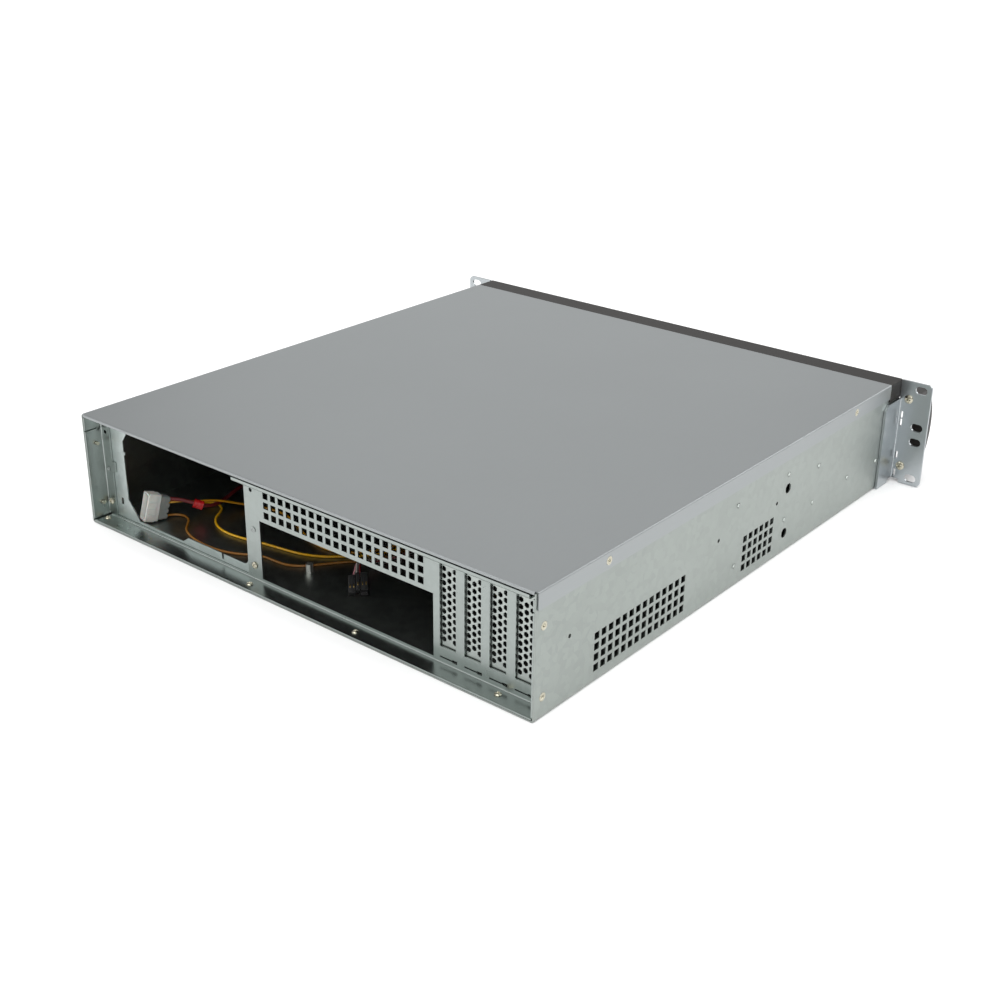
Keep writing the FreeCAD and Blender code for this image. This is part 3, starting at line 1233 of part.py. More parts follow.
# ---------------------------------------------------------------- build every node
save(base_tray(), "base_tray")
save(standoffs(), "board_standoffs")
save(rear_panel(), "rear_panel")
save(psu_plate(), "psu_plate")
for slot in range(SLOT_COUNT):
    save(slot_cover(SLOT_CENTRE - slot * SLOT_PITCH), "slot_cover_" + str(slot + 1))
save(top_cover(), "top_cover")

right_ear = ear()
save(right_ear, "ear_right")
save(mirrored(right_ear), "ear_left")
right_handle = handle()
save(right_handle, "handle_right")
save(mirrored(right_handle), "handle_left")
save(front_panel(), "front_panel")

save(drive_cage(), "drive_cage")
save(bay_cover(BAY_BOTTOMS[0]), "bay_cover_lower")
save(bay_cover(BAY_BOTTOMS[1]), "bay_cover_upper")
for number, centre in enumerate(FAN_CENTRES, 1):
    save(fan_frame(centre), "fan_frame_" + str(number))
    save(fan_rotor(centre), "fan_rotor_" + str(number))

save(button(*POWER_BUTTON), "power_button")
save(button(*RESET_BUTTON), "reset_button")
save(control_board(), "control_board")
save(board_posts(), "board_posts")
save(status_lights(), "status_lights")
save(data_ports(), "data_ports")

save(power_plug(), "power_plug")
save(power_socket(), "power_socket")
save(header_connectors(), "header_connectors")
for node, (thickness, route) in LEAD_ROUTES.items():
    save(lead(route, thickness, node), node)
save(crimp_sleeve(LEAD_ROUTES["supply_lead_red"][1], CRIMP_RUN), "crimp_sleeve")

handle_places = handle_screw_places(1) + handle_screw_places(-1)
save(group(placed_all(small_flat_screw, cover_screw_places)), "cover_screws")
save(group(placed_all(small_flat_screw, wall_screw_places)), "wall_screws")
save(group(placed_all(small_pan_screw, plate_screw_places)), "plate_screws")
save(group(placed_all(floor_screw, ledge_screw_places)), "ledge_screws")
save(group(placed_all(floor_screw, slot_screw_places())), "slot_screws")
save(group(placed_all(rivet, plate_rivet_places)), "plate_rivets")
save(group(placed_all(handle_screw, handle_places)), "handle_screws")
save(group(placed_all(small_pan_screw, fan_screw_places())), "fan_screws")
save(group(placed_all(floor_screw, cage_screw_places())), "cage_screws")
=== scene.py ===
"""An empty server case for a 19 inch rack, seen from behind, above its right rear corner."""
import math

import bmesh
import bpy
import numpy as np
from mathutils import Euler, Matrix, Vector


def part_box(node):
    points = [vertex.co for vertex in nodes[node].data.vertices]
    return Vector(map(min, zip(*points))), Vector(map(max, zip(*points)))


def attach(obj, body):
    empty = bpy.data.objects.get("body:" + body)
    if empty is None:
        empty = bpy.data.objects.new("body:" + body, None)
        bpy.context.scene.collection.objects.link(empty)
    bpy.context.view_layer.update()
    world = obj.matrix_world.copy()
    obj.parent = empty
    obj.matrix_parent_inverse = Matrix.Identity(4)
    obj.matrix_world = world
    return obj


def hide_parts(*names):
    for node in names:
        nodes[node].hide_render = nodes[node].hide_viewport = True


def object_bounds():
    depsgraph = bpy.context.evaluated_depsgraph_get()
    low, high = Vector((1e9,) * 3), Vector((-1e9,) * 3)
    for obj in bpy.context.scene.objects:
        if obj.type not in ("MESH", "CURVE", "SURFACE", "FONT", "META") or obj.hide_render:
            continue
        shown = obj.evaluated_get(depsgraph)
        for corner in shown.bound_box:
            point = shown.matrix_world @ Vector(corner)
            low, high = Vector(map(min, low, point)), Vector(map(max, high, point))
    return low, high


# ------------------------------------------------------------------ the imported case
# Every piece below takes its place from these nodes and from the case's own box.
# Lengths are in millimetres until `MM` turns them to metres.
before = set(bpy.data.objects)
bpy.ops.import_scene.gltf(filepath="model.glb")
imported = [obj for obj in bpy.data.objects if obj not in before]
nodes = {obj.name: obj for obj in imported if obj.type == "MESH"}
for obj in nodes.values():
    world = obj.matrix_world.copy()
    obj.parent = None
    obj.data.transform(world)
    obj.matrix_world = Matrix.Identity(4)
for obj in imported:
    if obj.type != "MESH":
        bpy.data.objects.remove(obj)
cad_box = [[float(v) for v in corner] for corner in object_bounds()]
MM = 0.001
REAR = cad_box[1][1]


# ------------------------------------------------------------------ camera
# A normal lens a little over a metre off and above the case's right rear corner, as a
# catalogue view is taken. Place and angles are those from which the case's edges fit the view.
LENS = 51.73
SENSOR = 36.0
SHIFT = (-0.00557, -0.01323)
NEAREST = 0.01
STAND = (-0.65312, 0.82875, 0.47739)
AZIMUTH, ELEVATION, ROLL = 218.9035, 24.1278, 0.7706

camera = bpy.data.objects.new("camera", bpy.data.cameras.new("camera"))
bpy.context.scene.collection.objects.link(camera)
camera.data.lens = LENS
camera.data.sensor_width = SENSOR
camera.data.shift_x, camera.data.shift_y = SHIFT
camera.data.clip_start = NEAREST
aim = Euler((math.radians(90 - ELEVATION), 0, math.radians(AZIMUTH))).to_matrix()
turn = (aim @ Matrix.Rotation(math.radians(ROLL), 3, "Z")).to_4x4()
camera.matrix_world = Matrix.Translation(Vector(STAND)) @ turn
bpy.context.scene.camera = camera


# ------------------------------------------------------------------ studio
# A white paper sweep under a broad overhead light, with a soft box off each corner of the case.
# The top mirrors the far box, the rear ledge the rear box, the cover's side fold the edge box
# and the wall beside it the side box, and little light gets inside.
FLOOR_REACH = 30.0
FLOOR_DROP = 0.0004
AIR = 0.42
OVERHEAD = 2.5
OVERHEAD_SPREAD = 70
OVERHEAD_TILT = (-12, -10)
# name: place, width, power
SOFT_BOXES = {
    "far_box": ((2.2, -2.8, 2.0), 3.0, 13),
    "rear_box": ((1.9, 2.4, 1.45), 2.4, 18),
    "edge_box": ((-1.35, -2.5, 1.7), 1.8, 22),
    "side_box": ((-1.3, 1.5, 1.3), 0.9, 12),
}


def linear(code):
    """An sRGB hex colour as linear RGBA: ((c + 0.055) / 1.055) ^ 2.4, or c / 12.92 near black."""
    channel = np.array([int(code[i:i + 2], 16) for i in (1, 3, 5)]) / 255
    value = np.where(channel > 0.04045, ((channel + 0.055) / 1.055) ** 2.4, channel / 12.92)
    return (*value.tolist(), 1.0)


def add(tree, kind, settings=(), links=(), **properties):
    """Adds one node to a tree, with its properties, its sockets' values and its links."""
    made = tree.nodes.new(kind)
    for name, value in properties.items():
        setattr(made, name, value)
    for socket, value in dict(settings).items():
        made.inputs[socket].default_value = value
    for socket, source in dict(links).items():
        tree.links.new(source, made.inputs[socket])
    return made


def blank_material(name):
    """A material with an empty tree, and that tree."""
    material = bpy.data.materials.new(name)
    material.use_nodes = True
    material.node_tree.nodes.clear()
    return material, material.node_tree


paper, tree = blank_material("matt_white_paper")
sheet = add(tree, "ShaderNodeBsdfPrincipled",
            {"Base Color": linear("#F4F4F4"), "Roughness": 0.9, "Specular IOR Level": 0.1})
add(tree, "ShaderNodeOutputMaterial", (), {"Surface": sheet.outputs[0]})
corners = np.array([(-1, -1), (1, -1), (1, 1), (-1, 1)]) * FLOOR_REACH
floor_level = cad_box[0][2] - FLOOR_DROP
floor_mesh = bpy.data.meshes.new("paper_sweep")
floor_mesh.from_pydata([(x, y, floor_level) for x, y in corners], [], [(0, 1, 2, 3)])
floor_mesh.materials.append(paper)
floor = bpy.data.objects.new("paper_sweep", floor_mesh)
bpy.context.scene.collection.objects.link(floor)

world = bpy.data.worlds.new("studio_air")
bpy.context.scene.world = world
world.use_nodes = True
world.node_tree.nodes["Background"].inputs["Color"].default_value = linear("#FFFFFF")
world.node_tree.nodes["Background"].inputs["Strength"].default_value = AIR

overhead = bpy.data.lights.new("overhead_light", "SUN")
overhead.energy = OVERHEAD
overhead.angle = math.radians(OVERHEAD_SPREAD)
overhead_light = bpy.data.objects.new("overhead_light", overhead)
overhead_light.rotation_euler = (*map(math.radians, OVERHEAD_TILT), 0)
bpy.context.scene.collection.objects.link(overhead_light)

for name, (place, width, power) in SOFT_BOXES.items():
    lamp = bpy.data.lights.new(name, "AREA")
    lamp.size = width
    lamp.energy = power
    soft_box = bpy.data.objects.new(name, lamp)
    soft_box.location = place
    soft_box.rotation_euler = (-Vector(place)).to_track_quat("-Z", "Y").to_euler()
    bpy.context.scene.collection.objects.link(soft_box)
bpy.context.scene.view_settings.view_transform = "Standard"
bpy.context.scene.view_settings.look = "None"


# ------------------------------------------------------------------ tray, rear panel, bay plates
# Hot-dip galvanised steel, 1 mm, folded and then spot-welded or riveted. The zinc has frozen
# in faint crystals a few millimetres across, each a little lighter or duller than the next.
SPANGLE = 4.5
SPANGLE_BEND = 3.0
ZINC_CLOUD = 71.4
# the rolled skin's grain, drawn coarser than it is so that it shows
GRAIN = 0.35
GRAIN_DEPTH = 0.5


def galvanised(name, pale, dark, gloss, dull):
    """Galvanised sheet: pale and dark crystals, with gloss and dull as their roughness."""
    material, tree = blank_material(name)
    place = {"Vector": add(tree, "ShaderNodeTexCoord").outputs["Object"]}
    wander = add(tree, "ShaderNodeTexNoise", {"Scale": 1 / (SPANGLE * 2 * MM), "Detail": 2}, place)
    bent = add(tree, "ShaderNodeVectorMath", {1: (SPANGLE_BEND * MM,) * 3},
               {0: wander.outputs["Color"], 2: place["Vector"]}, operation="MULTIPLY_ADD")
    crystal = add(tree, "ShaderNodeTexVoronoi", {"Scale": 1 / (SPANGLE * MM)},
                  {"Vector": bent.outputs["Vector"]})
    shade = add(tree, "ShaderNodeSeparateColor", (), {"Color": crystal.outputs["Color"]})
    cloud = add(tree, "ShaderNodeTexNoise", {"Scale": 1 / (ZINC_CLOUD * MM), "Detail": 4}, place)
    mixed = add(tree, "ShaderNodeMix", {"Factor": 0.6},
                {"A": shade.outputs["Red"], "B": cloud.outputs["Fac"]})
    tone = add(tree, "ShaderNodeMix", {"A": linear(dark), "B": linear(pale)},
               {"Factor": mixed.outputs["Result"]}, data_type="RGBA")
    rough = add(tree, "ShaderNodeMapRange", {"To Min": gloss, "To Max": dull},
                {"Value": mixed.outputs["Result"]})
    grain = add(tree, "ShaderNodeTexNoise", {"Scale": 1 / (GRAIN * MM), "Detail": 2}, place)
    relief = add(tree, "ShaderNodeBump", {"Strength": 0.02, "Distance": GRAIN_DEPTH * MM},
                 {"Height": grain.outputs["Fac"]})
    metal = add(tree, "ShaderNodeBsdfPrincipled", {"Metallic": 1.0},
                {"Base Color": tone.outputs["Result"], "Roughness": rough.outputs["Result"],
                 "Normal": relief.outputs["Normal"]})
    add(tree, "ShaderNodeOutputMaterial", (), {"Surface": metal.outputs[0]})
    return material


def dress(material, *names):
    """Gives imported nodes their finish."""
    for name in names:
        for held in nodes[name].material_slots:
            held.material = material


dress(galvanised("galvanised_tray", "#A4AAA6", "#919793", 0.30, 0.42), "base_tray")
dress(galvanised("galvanised_rear_panel", "#A7AEAB", "#99A09D", 0.26, 0.31), "rear_panel")
dress(galvanised("galvanised_supply_plate", "#CCD4D2", "#B2BAB8", 0.30, 0.42), "psu_plate")
dress(galvanised("galvanised_slot_covers", "#B9BFBB", "#9EA4A1", 0.26, 0.38),
      "slot_cover_1", "slot_cover_2", "slot_cover_3", "slot_cover_4")
dress(galvanised("galvanised_drive_cage", "#A4A9A7", "#8D9290", 0.32, 0.44), "drive_cage")


# ------------------------------------------------------------------ top cover
# Electro-galvanised sheet, 0.8 mm, folded down at both sides and hemmed at the rear. Its zinc
# is thin and even, so the eye sees a plain satin grey with a very fine grain along the roll,
# drawn here coarser than it is so that it shows.
ROLL_GRAIN = 0.6
ROLL_DRAW = 0.06
ROLL_DEPTH = 0.4
SHEET_CLOUD = 143


def satin_sheet(name, pale, dark, gloss, dull):
    """Electro-galvanised sheet: a fine grain drawn out along Y, under slow clouds."""
    material, tree = blank_material(name)
    place = {"Vector": add(tree, "ShaderNodeTexCoord").outputs["Object"]}
    drawn = add(tree, "ShaderNodeMapping", {"Scale": (1.0, ROLL_DRAW, 1.0)}, place)
    grain = add(tree, "ShaderNodeTexNoise", {"Scale": 1 / (ROLL_GRAIN * MM), "Detail": 3},
                {"Vector": drawn.outputs["Vector"]})
    cloud = add(tree, "ShaderNodeTexNoise", {"Scale": 1 / (SHEET_CLOUD * MM), "Detail": 3}, place)
    mixed = add(tree, "ShaderNodeMix", {"Factor": 0.5},
                {"A": grain.outputs["Fac"], "B": cloud.outputs["Fac"]})
    tone = add(tree, "ShaderNodeMix", {"A": linear(dark), "B": linear(pale)},
               {"Factor": mixed.outputs["Result"]}, data_type="RGBA")
    rough = add(tree, "ShaderNodeMapRange", {"To Min": gloss, "To Max": dull},
                {"Value": mixed.outputs["Result"]})
    relief = add(tree, "ShaderNodeBump", {"Strength": 0.015, "Distance": ROLL_DEPTH * MM},
                 {"Height": grain.outputs["Fac"]})
    metal = add(tree, "ShaderNodeBsdfPrincipled", {"Metallic": 1.0},
                {"Base Color": tone.outputs["Result"], "Roughness": rough.outputs["Result"],
                 "Normal": relief.outputs["Normal"]})
    add(tree, "ShaderNodeOutputMaterial", (), {"Surface": metal.outputs[0]})
    return material


dress(satin_sheet("satin_electro_galvanised", "#A7ABAC", "#9B9FA0", 0.38, 0.48), "top_cover")


# ------------------------------------------------------------------ rack ears
# Laser-cut steel, 2 mm, folded and then zinc plated and clear passivated. The plate is
# bluish and a little cloudy, and shows the sheet's own rolling marks.
dress(satin_sheet("bluish_zinc_plate", "#BFC4C6", "#A3A9AC", 0.22, 0.38), "ear_right", "ear_left")


# ------------------------------------------------------------------ front panel and handles
# Folded steel and cast bows, both powder coated black. The coat has flowed into a fine,
# soft orange peel, which breaks up the lights' edges, and has only a low gloss.
PEEL = 1.1
PEEL_DEPTH = 0.4
HANDLED = 55.6


def black_powder(name, colour, low, high):
    """Satin powder coat: orange peel about a millimetre across, roughness from low to high."""
    material, tree = blank_material(name)
    place = {"Vector": add(tree, "ShaderNodeTexCoord").outputs["Object"]}
    peel = add(tree, "ShaderNodeTexNoise", {"Scale": 1 / (PEEL * MM), "Detail": 2}, place)
    handled = add(tree, "ShaderNodeTexNoise", {"Scale": 1 / (HANDLED * MM), "Detail": 4}, place)
    tone = add(tree, "ShaderNodeMix", {"A": linear(colour), "B": linear("#2B2826")},
               {"Factor": handled.outputs["Fac"]}, data_type="RGBA")
    rough = add(tree, "ShaderNodeMapRange", {"To Min": low, "To Max": high},
                {"Value": handled.outputs["Fac"]})
    relief = add(tree, "ShaderNodeBump", {"Strength": 0.12, "Distance": PEEL_DEPTH * MM},
                 {"Height": peel.outputs["Fac"]})
    coat = add(tree, "ShaderNodeBsdfPrincipled", {"IOR": 1.5, "Specular IOR Level": 0.3},
               {"Base Color": tone.outputs["Result"], "Roughness": rough.outputs["Result"],
                "Normal": relief.outputs["Normal"]})
    add(tree, "ShaderNodeOutputMaterial", (), {"Surface": coat.outputs[0]})
    return material


dress(black_powder("black_powder_paint", "#141211", 0.42, 0.56), "front_panel")
dress(black_powder("black_powder_on_castings", "#181716", 0.3, 0.42), "handle_right", "handle_left")


# ------------------------------------------------------------------ bay covers, fan frames, buttons
# Injection moulded in black plastic with a fine spark-eroded texture, drawn coarser than it is
# so that it shows. It scatters the lights, so the faces are matt and the edges only faintly
# bright.
EROSION = 0.5
EROSION_DEPTH = 0.2
FLOW = 33.3
GLOSS_SPREAD = 0.06


def moulded(name, colour, pale, roughness, bump=0.2):
    """Moulded plastic: eroded texture of about half a millimetre, over faint flow clouds."""
    material, tree = blank_material(name)
    place = {"Vector": add(tree, "ShaderNodeTexCoord").outputs["Object"]}
    eroded = add(tree, "ShaderNodeTexNoise", {"Scale": 1 / (EROSION * MM), "Detail": 3}, place)
    flow = add(tree, "ShaderNodeTexNoise", {"Scale": 1 / (FLOW * MM), "Detail": 2}, place)
    tone = add(tree, "ShaderNodeMix", {"A": linear(colour), "B": linear(pale)},
               {"Factor": flow.outputs["Fac"]}, data_type="RGBA")
    rough = add(tree, "ShaderNodeMapRange",
                {"To Min": roughness - GLOSS_SPREAD, "To Max": roughness + GLOSS_SPREAD},
                {"Value": eroded.outputs["Fac"]})
    relief = add(tree, "ShaderNodeBump", {"Strength": bump, "Distance": EROSION_DEPTH * MM},
                 {"Height": eroded.outputs["Fac"]})
    plastic = add(tree, "ShaderNodeBsdfPrincipled", {"IOR": 1.53},
                  {"Base Color": tone.outputs["Result"], "Roughness": rough.outputs["Result"],
                   "Normal": relief.outputs["Normal"]})
    add(tree, "ShaderNodeOutputMaterial", (), {"Surface": plastic.outputs[0]})
    return material


dress(moulded("black_abs_texture", "#1B1B1C", "#232324", 0.55),
      "bay_cover_lower", "bay_cover_upper")
dress(moulded("black_glass_filled_pbt", "#202021", "#2A2A2B", 0.48), "fan_frame_1", "fan_frame_2")
dress(moulded("grey_button_plastic", "#8C8F91", "#9A9D9F", 0.42), "power_button", "reset_button")


# ------------------------------------------------------------------ fan rotors
# One moulding each, black and smoother than its frame: a cup with a rounded front edge over
# the motor, and seven cambered blades that lean in the direction of turning.
HUB_RADIUS = 18.0
HUB_ROUND = 2.0
HUB_BORE = 1.6
HUB_FACE_RING = ((12.0, 0.0), (11.6, 0.35), (8.0, 0.35), (7.6, 0.0))
BLADE_COUNT = 7
BLADE_ROOT = 17.4
BLADE_TIP = 36.2
BLADE_LEAN = math.radians(38)
BLADE_UNTWIST = 0.25
BLADE_SWEEP = 3.0
BLADE_CHORDS = (15.5, 22.0)
BLADE_CAMBER = 1.7
BLADE_SKIN = 0.75
BLADE_FULLNESS = 0.7
SMALLEST_GAP = 1e-6
SHARP = math.radians(32)
ROTOR_BODIES = {"fan_rotor_1": "fan_1", "fan_rotor_2": "fan_2"}


def closed_grid(rings):
    """Points and quads over rings (rows, sides, 3) that close round. Each end is drawn in to
    its middle."""
    middles = rings[[0, -1]].mean(axis=1, keepdims=True) * np.ones((1, rings.shape[1], 1))
    rings = np.concatenate([middles[:1], rings, middles[1:]])
    number = np.arange(rings.shape[0] * rings.shape[1]).reshape(rings.shape[:2])
    beside = np.roll(number, -1, axis=1)
    quads = np.stack([number[:-1], beside[:-1], beside[1:], number[1:]], axis=-1)
    return rings.reshape(-1, 3), quads.reshape(-1, 4)


def piece(name, shells, materials, body, replaced=()):
    """One object from (points in mm, quads, material number) shells, which rides on a body."""
    counts = [len(points) for points, _, _ in shells]
    starts = np.concatenate([[0], np.cumsum(counts)[:-1]])
    points = np.concatenate([points for points, _, _ in shells]) * MM
    quads = np.concatenate([quads + start for (_, quads, _), start in zip(shells, starts)])
    looks = np.concatenate([np.full(len(quads), look) for _, quads, look in shells])
    mesh = bpy.data.meshes.new(name)
    mesh.from_pydata(points.tolist(), [], quads.tolist())
    for material in materials:
        mesh.materials.append(material)
    mesh.polygons.foreach_set("material_index", looks)
    mend = bmesh.new()
    mend.from_mesh(mesh)
    bmesh.ops.remove_doubles(mend, verts=mend.verts, dist=SMALLEST_GAP)
    bmesh.ops.recalc_face_normals(mend, faces=mend.faces)
    mend.to_mesh(mesh)
    mend.free()
    mesh.shade_smooth()
    mesh.set_sharp_from_angle(angle=SHARP)
    made = bpy.data.objects.new(name, mesh)
    bpy.context.scene.collection.objects.link(made)
    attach(made, body)
    if replaced:
        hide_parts(*replaced)
    return made


def spun(profile, sides=48):
    """Rings of a profile of (radius, height) points turned about +Z."""
    angle = np.arange(sides) * 2 * np.pi / sides
    radius, height = np.array(profile, float).T
    across = radius[:, None, None] * np.stack([np.cos(angle), np.sin(angle)], axis=-1)[None]
    level = np.broadcast_to(height[:, None, None], across.shape[:2] + (1,))
    return np.concatenate([across, level], axis=-1)


def cambered_blade(middle, rows=14, sides=24):
    """Blade about +Z: at each radius, an oval section (chord, skin) set at the lean and bowed by
    camber (1 - s^2), and wrapped round the axis, so that its tip follows the bore."""
    radius = np.linspace(BLADE_ROOT, BLADE_TIP, rows)[:, None]
    share = (radius - BLADE_ROOT) / (BLADE_TIP - BLADE_ROOT)
    turn = np.arange(sides)[None] * 2 * np.pi / sides
    chord = BLADE_CHORDS[0] + (BLADE_CHORDS[1] - BLADE_CHORDS[0]) * share
    along = chord / 2 * np.cos(turn)
    oval = BLADE_SKIN * np.sign(np.sin(turn)) * np.abs(np.sin(turn)) ** BLADE_FULLNESS
    thick = oval + BLADE_CAMBER * (1 - np.cos(turn) ** 2)
    lean = BLADE_LEAN * (1 - BLADE_UNTWIST * share)
    around = along * np.cos(lean) - thick * np.sin(lean) + BLADE_SWEEP * share
    height = along * np.sin(lean) + thick * np.cos(lean) + middle
    angle = around / radius
    return np.stack([radius * np.cos(angle), radius * np.sin(angle), height], axis=-1)


rotor_plastic = moulded("black_rotor_plastic", "#1A1A1B", "#242425", 0.34, 0.06)
for node, body in ROTOR_BODIES.items():
    low, high = (np.array(corner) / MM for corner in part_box(node))
    depth = high[1] - low[1]
    # radius and height: out over the open back, down the wall, and in across the front
    cup = [(HUB_BORE, depth - 0.6), (HUB_RADIUS - 1.4, depth - 0.6), (HUB_RADIUS - 0.9, depth),
           (HUB_RADIUS, depth), (HUB_RADIUS, HUB_ROUND), (HUB_RADIUS - 0.3, 1.0),
           (HUB_RADIUS - 1.0, 0.3), (HUB_RADIUS - HUB_ROUND, 0.0), *HUB_FACE_RING]
    shells = [(*closed_grid(spun(cup)), 0)]
    for k in range(BLADE_COUNT):
        angle = k * 2 * np.pi / BLADE_COUNT
        turn = np.array([(np.cos(angle), np.sin(angle), 0), (-np.sin(angle), np.cos(angle), 0),
                         (0, 0, 1)])
        shells.append((*closed_grid(cambered_blade(depth / 2) @ turn), 0))
    centre = np.array(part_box(node.replace("rotor", "frame"))).mean(axis=0) / MM
    set_up = [(np.column_stack([points[:, 0] + centre[0], low[1] + points[:, 2],
                                centre[2] - points[:, 1]]), quads, look)
              for points, quads, look in shells]
    piece("cambered_" + node, set_up, [rotor_plastic], body, [node])


# ------------------------------------------------------------------ control board, posts, ports
# A glass-epoxy board under green solder resist, with tracks that show as paler lines. The posts,
# the port shells and the board standoffs are nickel plated; the lamps' lenses are clouded acrylic.
TRACK = 1.9
TRACK_DEPTH = 0.1
PLATING_CLOUD = 2.38
ACRYLIC_CLOUD = 3.33
SCATTER = 2.0


def solder_resist(name):
    """Green resist: tracks every couple of millimetres, a little paler and proud of the board."""
    material, tree = blank_material(name)
    place = {"Vector": add(tree, "ShaderNodeTexCoord").outputs["Object"]}
    tracks = add(tree, "ShaderNodeTexBrick",
                 {"Scale": 1 / (TRACK * 4 * MM), "Color1": linear("#0F3A22"),
                  "Color2": linear("#12472A"), "Mortar": linear("#1D6B41"), "Mortar Size": 0.04},
                 place)
    relief = add(tree, "ShaderNodeBump", {"Strength": 0.3, "Distance": TRACK_DEPTH * MM},
                 {"Height": tracks.outputs["Fac"]})
    resist = add(tree, "ShaderNodeBsdfPrincipled", {"Roughness": 0.28, "IOR": 1.5},
                 {"Base Color": tracks.outputs["Color"], "Normal": relief.outputs["Normal"]})
    add(tree, "ShaderNodeOutputMaterial", (), {"Surface": resist.outputs[0]})
    return material


def plated(name, colour, shade, gloss, dull):
    """Plated or bare metal: cloudy between two tones, with a gloss that varies with them."""
    material, tree = blank_material(name)
    place = {"Vector": add(tree, "ShaderNodeTexCoord").outputs["Object"]}
    cloud = add(tree, "ShaderNodeTexNoise", {"Scale": 1 / (PLATING_CLOUD * MM), "Detail": 3}, place)
    tone = add(tree, "ShaderNodeMix", {"A": linear(shade), "B": linear(colour)},
               {"Factor": cloud.outputs["Fac"]}, data_type="RGBA")
    rough = add(tree, "ShaderNodeMapRange", {"To Min": gloss, "To Max": dull},
                {"Value": cloud.outputs["Fac"]})
    metal = add(tree, "ShaderNodeBsdfPrincipled", {"Metallic": 1.0},
                {"Base Color": tone.outputs["Result"], "Roughness": rough.outputs["Result"]})
    add(tree, "ShaderNodeOutputMaterial", (), {"Surface": metal.outputs[0]})
    return material


def clouded_acrylic(name):
    """Clouded acrylic: light spreads inside it, and its face is smooth."""
    material, tree = blank_material(name)
    place = {"Vector": add(tree, "ShaderNodeTexCoord").outputs["Object"]}
    cloud = add(tree, "ShaderNodeTexNoise", {"Scale": 1 / (ACRYLIC_CLOUD * MM)}, place)
    tone = add(tree, "ShaderNodeMix", {"A": linear("#C9D6C4"), "B": linear("#E3E8DC")},
               {"Factor": cloud.outputs["Fac"]}, data_type="RGBA")
    lens = add(tree, "ShaderNodeBsdfPrincipled",
               {"Roughness": 0.2, "IOR": 1.49, "Subsurface Weight": 0.4,
                "Subsurface Scale": SCATTER * MM}, {"Base Color": tone.outputs["Result"]})
    add(tree, "ShaderNodeOutputMaterial", (), {"Surface": lens.outputs[0]})
    return material


dress(solder_resist("green_solder_resist"), "control_board")
dress(plated("bright_nickel", "#F2F0EC", "#DEDCD6", 0.3, 0.42),
      "board_posts", "data_ports", "board_standoffs")
dress(clouded_acrylic("clouded_acrylic"), "status_lights")


# ------------------------------------------------------------------ screws and rivets
# Zinc plated, yellow passivated Phillips screws: flush ones in the cover and the walls, and low
# domes elsewhere. The blind rivets' heads are plain aluminium, with a small pit at the middle.
CROSS_WIDTH = 0.95
CROSS_REACH = 0.62
CROSS_DEPTH = 1.1
CROSS_SLOPE = 0.22
CROSS_END = 0.35
PIT_RADIUS = 0.9
PIT_DEPTH = 0.5
PIT_SLOPE = 0.25
SHANK = 1.4
SCREW_POINT = 0.02
SCREW_SIDES = 64
DOME_RINGS = 15
TURNS_SEED = 7


def solids_in(node):
    """Lowest and highest corners, in mm, of each separate solid in a node. Corners that share a
    face take the lowest of their numbers, again and again, until nothing changes."""
    mesh = nodes[node].data
    points = np.empty(len(mesh.vertices) * 3)
    mesh.vertices.foreach_get("co", points)
    places, number = np.unique((points.reshape(-1, 3) / MM).round(3), axis=0, return_inverse=True)
    corner = np.empty(len(mesh.loops), int)
    mesh.loops.foreach_get("vertex_index", corner)
    faces = number.ravel()[corner].reshape(-1, 3)
    label = np.arange(len(places))
    while True:
        least = label[faces].min(axis=1)
        following = label.copy()
        np.minimum.at(following, faces.ravel(), np.repeat(least, 3))
        if (following == label).all():
            break
        label = following
    solids = [places[label == k] for k in np.unique(label)]
    return [(solid.min(axis=0), solid.max(axis=0)) for solid in solids]


def screw(radius, dome, edge, length, cross):
    """Screw about +Z with its seat at 0: a shank, a head whose top is dome (1 - (r / radius)^2)
    above its edge, and a cross pressed into the top that is deepest at the middle and narrows
    with depth. Without a cross, it is a rivet with a round pit."""
    share = np.linspace(1, 0, DOME_RINGS)[:-1] ** 0.9
    top = [(radius * s, edge + dome * (1 - s ** 2)) for s in share]
    under = [(SCREW_POINT, -length), (SHANK, -length), (SHANK, min(-0.05, edge - 1.5))]
    skirt = [(radius - 0.15, max(0.0, edge - 0.5)), (radius, edge - 0.12)]
    rings = spun(under + skirt + top, SCREW_SIDES)
    head = rings[len(under) + len(skirt):]
    x, y = np.abs(head[..., 0]), np.abs(head[..., 1])
    if cross:
        out = np.maximum(x, y) / (radius * CROSS_REACH)
        wall = CROSS_WIDTH / 2 * (1.25 - 0.5 * out) - np.minimum(x, y)
        end = np.clip((1 - out) / CROSS_END, 0, 1)
        head[..., 2] -= CROSS_DEPTH * np.clip(wall / CROSS_SLOPE, 0, 1) * end * (1 - 0.35 * out)
    else:
        head[..., 2] -= PIT_DEPTH * np.clip((PIT_RADIUS - np.hypot(x, y)) / PIT_SLOPE, 0, 1)
    return closed_grid(rings)


def set_in(part, place, axis, spin):
    """A part drawn about +Z, spun, and stood at a place along an axis."""
    points, quads = part
    frame_z = np.array(axis, float)
    frame_x = np.array((0.0, 0.0, 1.0) if abs(frame_z[2]) < 0.5 else (1.0, 0.0, 0.0))
    frame_y = np.cross(frame_z, frame_x)
    x = points[:, 0] * math.cos(spin) - points[:, 1] * math.sin(spin)
    y = points[:, 0] * math.sin(spin) + points[:, 1] * math.cos(spin)
    along = np.outer(x, frame_x) + np.outer(y, frame_y) + np.outer(points[:, 2], frame_z)
    return along + place, quads, 0


yellow_zinc = plated("yellow_passivated_zinc", "#CECABA", "#ABA793", 0.2, 0.34)
rivet_metal = plated("plain_aluminium_rivets", "#AEB3B1", "#989D9B", 0.34, 0.46)
